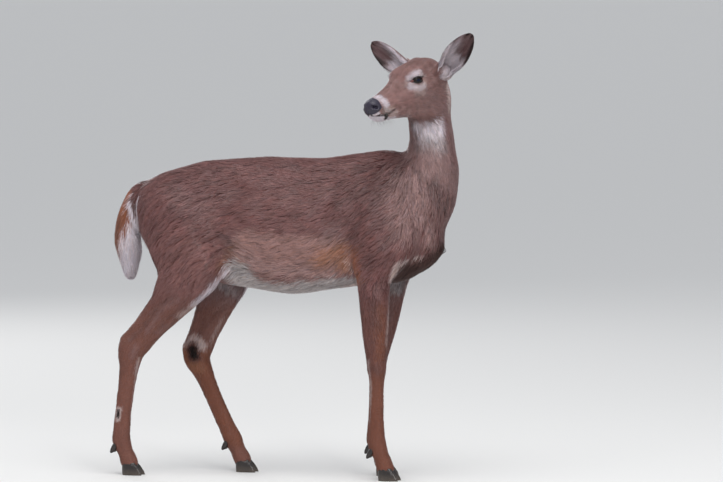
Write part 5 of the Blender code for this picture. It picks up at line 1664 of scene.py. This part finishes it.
# %% The caruncle, and the lids' colours
# In the eye's front corner lies a small pink lobe, the caruncle, and from it the tear duct runs on.
CARUNCLE_SIZE = 0.0034
CARUNCLE_SHAPE = 1.60, 0.62, 0.32  # along the slit, up, and outward
CARUNCLE_TURN = 0.95  # radians from the eye's axis round to its front corner
LID_DARK = np.array([0.022, 0.014, 0.014])
LID_PINK = np.array([0.20, 0.085, 0.080])
CARUNCLE_PINK = 0.30, 0.120, 0.115
for (side, word), lid in zip(SIDES, lids):
    mesh = bmesh.new()
    bmesh.ops.create_uvsphere(mesh, u_segments=20, v_segments=12, radius=CARUNCLE_SIZE)
    for vertex in mesh.verts:
        vertex.co *= Vector(CARUNCLE_SHAPE)
    caruncle = object_of(mesh, "caruncle_" + word)
    middle, slit, up, outward = eye_frame(side)
    sine, cosine = math.sin(CARUNCLE_TURN), math.cos(CARUNCLE_TURN)
    spot = middle + slit * (EYE_SIZE * sine) + outward * (EYE_SIZE * cosine)
    lean = (slit * cosine - outward * sine).normalized()
    placed_by(caruncle, spot, lean, up, (slit * sine + outward * cosine).normalized())
    lid_count = len(lid.data.vertices)
    lid = joined([lid, caruncle], "eyelids_" + word)
    local = in_eye(points_of(lid), side)
    inner = soft_step(local[:, 0], 0.0120, 0.0150)[:, None]
    tone = LID_DARK * (1 - inner) + LID_PINK * inner
    tone[lid_count:] = CARUNCLE_PINK
    store_colours(lid.data, "markings_and_painted_light", tone, np.ones(len(tone)))
print("lids coloured")

# %% [markdown]
# ## Finishes
# Hair, hide and horn share one thing: each is never one flat shade. A node group makes that
# unevenness from two noises in the object's own space, one as broad as a hand and one as fine as
# a hair, and every material takes it at its own strength. The shaders themselves stay in the
# materials, as an exported model can't look inside a group.

# %% Uneven shade, a group for every material
UNEVEN_INPUTS = "Broad Scale", "Fine Scale", "Broad Amount", "Fine Amount"


def uneven_group():
    """Object-space noise, broad and fine, as one factor round 1."""
    group = bpy.data.node_groups.new("uneven shade", "ShaderNodeTree")
    for name in UNEVEN_INPUTS:
        group.interface.new_socket(name, in_out="INPUT", socket_type="NodeSocketFloat")
    group.interface.new_socket("Shade", in_out="OUTPUT", socket_type="NodeSocketFloat")
    start, end = group.nodes.new("NodeGroupInput"), group.nodes.new("NodeGroupOutput")
    links = group.links
    total = None
    for word, detail in (("Broad", 3.0), ("Fine", 2.0)):
        noise = in_object(group, "TexNoise", {"Detail": detail})
        links.new(start.outputs[word + " Scale"], noise.inputs["Scale"])
        spread = new_node(group, "Math", {1: 4.0, 2: -2.0}, operation="MULTIPLY_ADD")
        links.new(noise.outputs["Fac"], spread.inputs[0])
        part = new_node(group, "Math", {2: 1.0}, operation="MULTIPLY_ADD")
        links.new(spread.outputs[0], part.inputs[0])
        links.new(start.outputs[word + " Amount"], part.inputs[1])
        if total is not None:
            links.new(total, part.inputs[2])
        total = part.outputs[0]
    links.new(total, end.inputs["Shade"])
    return group


UNEVEN = uneven_group()


def uneven(material, *values):
    """Places the group in a material, with its own value for each input."""
    inputs = dict(zip(UNEVEN_INPUTS, values))
    return new_node(material.node_tree, "Group", inputs, node_tree=UNEVEN).outputs["Shade"]


def coloured(material, colour, shade):
    """Gives the shader this colour times a shade."""
    links = material.node_tree.links
    mix = new_node(material.node_tree, "VectorMath", operation="SCALE")
    links.new(colour, mix.inputs[0])
    links.new(shade, mix.inputs["Scale"])
    links.new(mix.outputs["Vector"], shader_of(material).inputs["Base Color"])


def painted(material, layer):
    """The colour and alpha kept at a mesh's points under this name."""
    return new_node(material.node_tree, "VertexColor", layer_name=layer).outputs


def ranged(material, value, low, high):
    """Maps a mask from 0 to 1 onto low to high."""
    node = new_node(material.node_tree, "MapRange", {"To Min": low, "To Max": high})
    material.node_tree.links.new(value, node.inputs["Value"])
    return node.outputs["Result"]


def roughened(material, value, low, high):
    """Gives the shader a roughness from low to high, by a mask from 0 to 1."""
    rough = ranged(material, value, low, high)
    material.node_tree.links.new(rough, shader_of(material).inputs["Roughness"])


def bumped(material, height, strength, distance):
    """A Bump node on the material's shader."""
    node = new_node(material.node_tree, "Bump", {"Strength": strength, "Distance": distance})
    material.node_tree.links.new(height, node.inputs["Height"])
    material.node_tree.links.new(node.outputs["Normal"], shader_of(material).inputs["Normal"])


print("group:", UNEVEN.name)

# %% Hair
def hair_material(name, roughness, sheen):
    material = plain_material(name, (0.2, 0.15, 0.12), roughness)
    shade = uneven(material, 9.0, 800.0, 0.05, 0.10)
    coloured(material, painted(material, "markings_and_painted_light")["Color"], shade)
    roughened(material, shade, roughness + 0.5, roughness - 0.5)
    shader = shader_of(material)
    shader.inputs["Specular IOR Level"].default_value = 0.14
    shader.inputs["Sheen Weight"].default_value = sheen
    shader.inputs["Sheen Roughness"].default_value = 0.45
    shader.inputs["Sheen Tint"].default_value = (0.92, 0.86, 0.90, 1)
    return material


HAIR = hair_material("deer hair", 0.64, 0.02)
WHISKER = hair_material("whisker and lash", 0.45, 0.0)
for coat in coats:
    coat.data.materials.append(HAIR)
    finish_piece(coat, {"coat_tail": "tail", "coat_ears": "ear"}.get(coat.name, "coat"))
whiskers.data.materials.append(WHISKER)
finish_piece(whiskers, "coat")
print("hair pieces:", len(coats) + 1)

# %% [markdown]
# Under the hair the hide has the same markings and painted shade, with short flat hair as a fine
# bump. The nose pad is bare: black with a painted blue sheen, moist, and pebbled in cells a
# millimetre across. A mask kept beside the markings says where it is, so one material is dull and
# hairy in one place and wet in another.

# %% Hide and nose
hide = plain_material("hide and nose", (0.2, 0.15, 0.12), 0.7)
links = hide.node_tree.links
paint = painted(hide, "markings_and_painted_light")
coloured(hide, paint["Color"], uneven(hide, 12.0, 600.0, 0.06, 0.16))
roughened(hide, paint["Alpha"], 0.78, 0.27)
shader_of(hide).inputs["Specular IOR Level"].default_value = 0.5
cells = in_object(hide.node_tree, "TexVoronoi", {"Scale": 620.0})
fuzz = in_object(hide.node_tree, "TexNoise", {"Scale": 900.0})
pick = new_node(hide.node_tree, "Mix")
links.new(paint["Alpha"], pick.inputs["Factor"])
links.new(fuzz.outputs["Fac"], pick.inputs["A"])
links.new(ranged(hide, cells.outputs["Distance"], 1.0, 0.2), pick.inputs["B"])
bumped(hide, pick.outputs["Result"], 0.55, 0.0006)
skin.data.materials.append(hide)
finish_piece(skin, "coat", *FLESH, *EARS)
print("hide on:", skin.name)

# %% Eyes and lids
# The eye is dark all over: a blue-black pupil in a brown ring, behind a wet, bright surface; the pupil's blue
# is a painted reflection.
BALL_COLOUR = 0.009, 0.006, 0.007, 1
IRIS_COLOUR = 0.010, 0.006, 0.005, 1
# black, with a blue that is a painted reflection
PUPIL_WITH_PAINTED_REFLECTION = 0.003, 0.006, 0.018, 1
eye = plain_material("wet eye", (0.01, 0.01, 0.012), 0.04)
links = eye.node_tree.links
parts_paint = painted(eye, "eye_parts")
split = new_node(eye.node_tree, "SeparateColor")
links.new(parts_paint["Color"], split.inputs["Color"])
iris_mix = new_node(eye.node_tree, "Mix", {"A": BALL_COLOUR, "B": IRIS_COLOUR}, data_type="RGBA")
links.new(split.outputs["Green"], iris_mix.inputs["Factor"])
pupil_mix = new_node(eye.node_tree, "Mix", {"B": PUPIL_WITH_PAINTED_REFLECTION}, data_type="RGBA")
links.new(split.outputs["Red"], pupil_mix.inputs["Factor"])
links.new(iris_mix.outputs["Result"], pupil_mix.inputs["A"])
coloured(eye, pupil_mix.outputs["Result"], uneven(eye, 120.0, 1500.0, 0.12, 0.30))
shader_of(eye).inputs["Specular IOR Level"].default_value = 0.22
for ball, node in zip(eyeballs, ("eye_left", "eye_right")):
    ball.data.materials.append(eye)
    finish_piece(ball, "eye", node)
lid_skin = plain_material("bare lid", (0.02, 0.015, 0.015), 0.35)
lid_shade = uneven(lid_skin, 90.0, 1200.0, 0.10, 0.18)
coloured(lid_skin, painted(lid_skin, "markings_and_painted_light")["Color"], lid_shade)
roughened(lid_skin, lid_shade, 0.62, 0.10)
bumped(lid_skin, lid_shade, 0.4, 0.0004)
for lid in lids:
    lid.data.materials.append(lid_skin)
    finish_piece(lid, "eye")
print("eyes and lids done")

# %% [markdown]
# Horn is the same stuff as hair, grown solid. It is nearly black, a little brown and scuffed where
# it meets the ground. Over the rings raised in its mesh, a Wave texture down its height gives finer
# ones as bump.

# %% Horn
HORN_HEIGHT = 0.04
HORN_RAMP = (0.05, (0.075, 0.058, 0.046, 1)), (0.5, (0.024, 0.018, 0.016, 1))  # share of it, colour
horn = plain_material("horn", (0.03, 0.025, 0.022), 0.42)
links = horn.node_tree.links
height = in_object(horn.node_tree, "SeparateXYZ")
ramp = new_node(horn.node_tree, "ValToRGB")
for stop, (share, colour) in zip(ramp.color_ramp.elements, HORN_RAMP):
    stop.position = share
    stop.color = colour
raised = new_node(horn.node_tree, "Math", {1: 1 / HORN_HEIGHT}, operation="MULTIPLY")
links.new(height.outputs["Z"], raised.inputs[0])
links.new(raised.outputs[0], ramp.inputs["Fac"])
scuffed = uneven(horn, 45.0, 420.0, 0.25, 0.20)
coloured(horn, ramp.outputs["Color"], scuffed)
roughened(horn, scuffed, 0.75, 0.10)
rings = in_object(horn.node_tree, "TexWave", {"Scale": 95.0, "Distortion": 2.5}, bands_direction="Z")
bumped(horn, rings.outputs["Fac"], 0.35, 0.0003)
hooves.data.materials.append(horn)
finish_piece(hooves, "horn", *HORN_NODES)
print("horn on:", hooves.name)
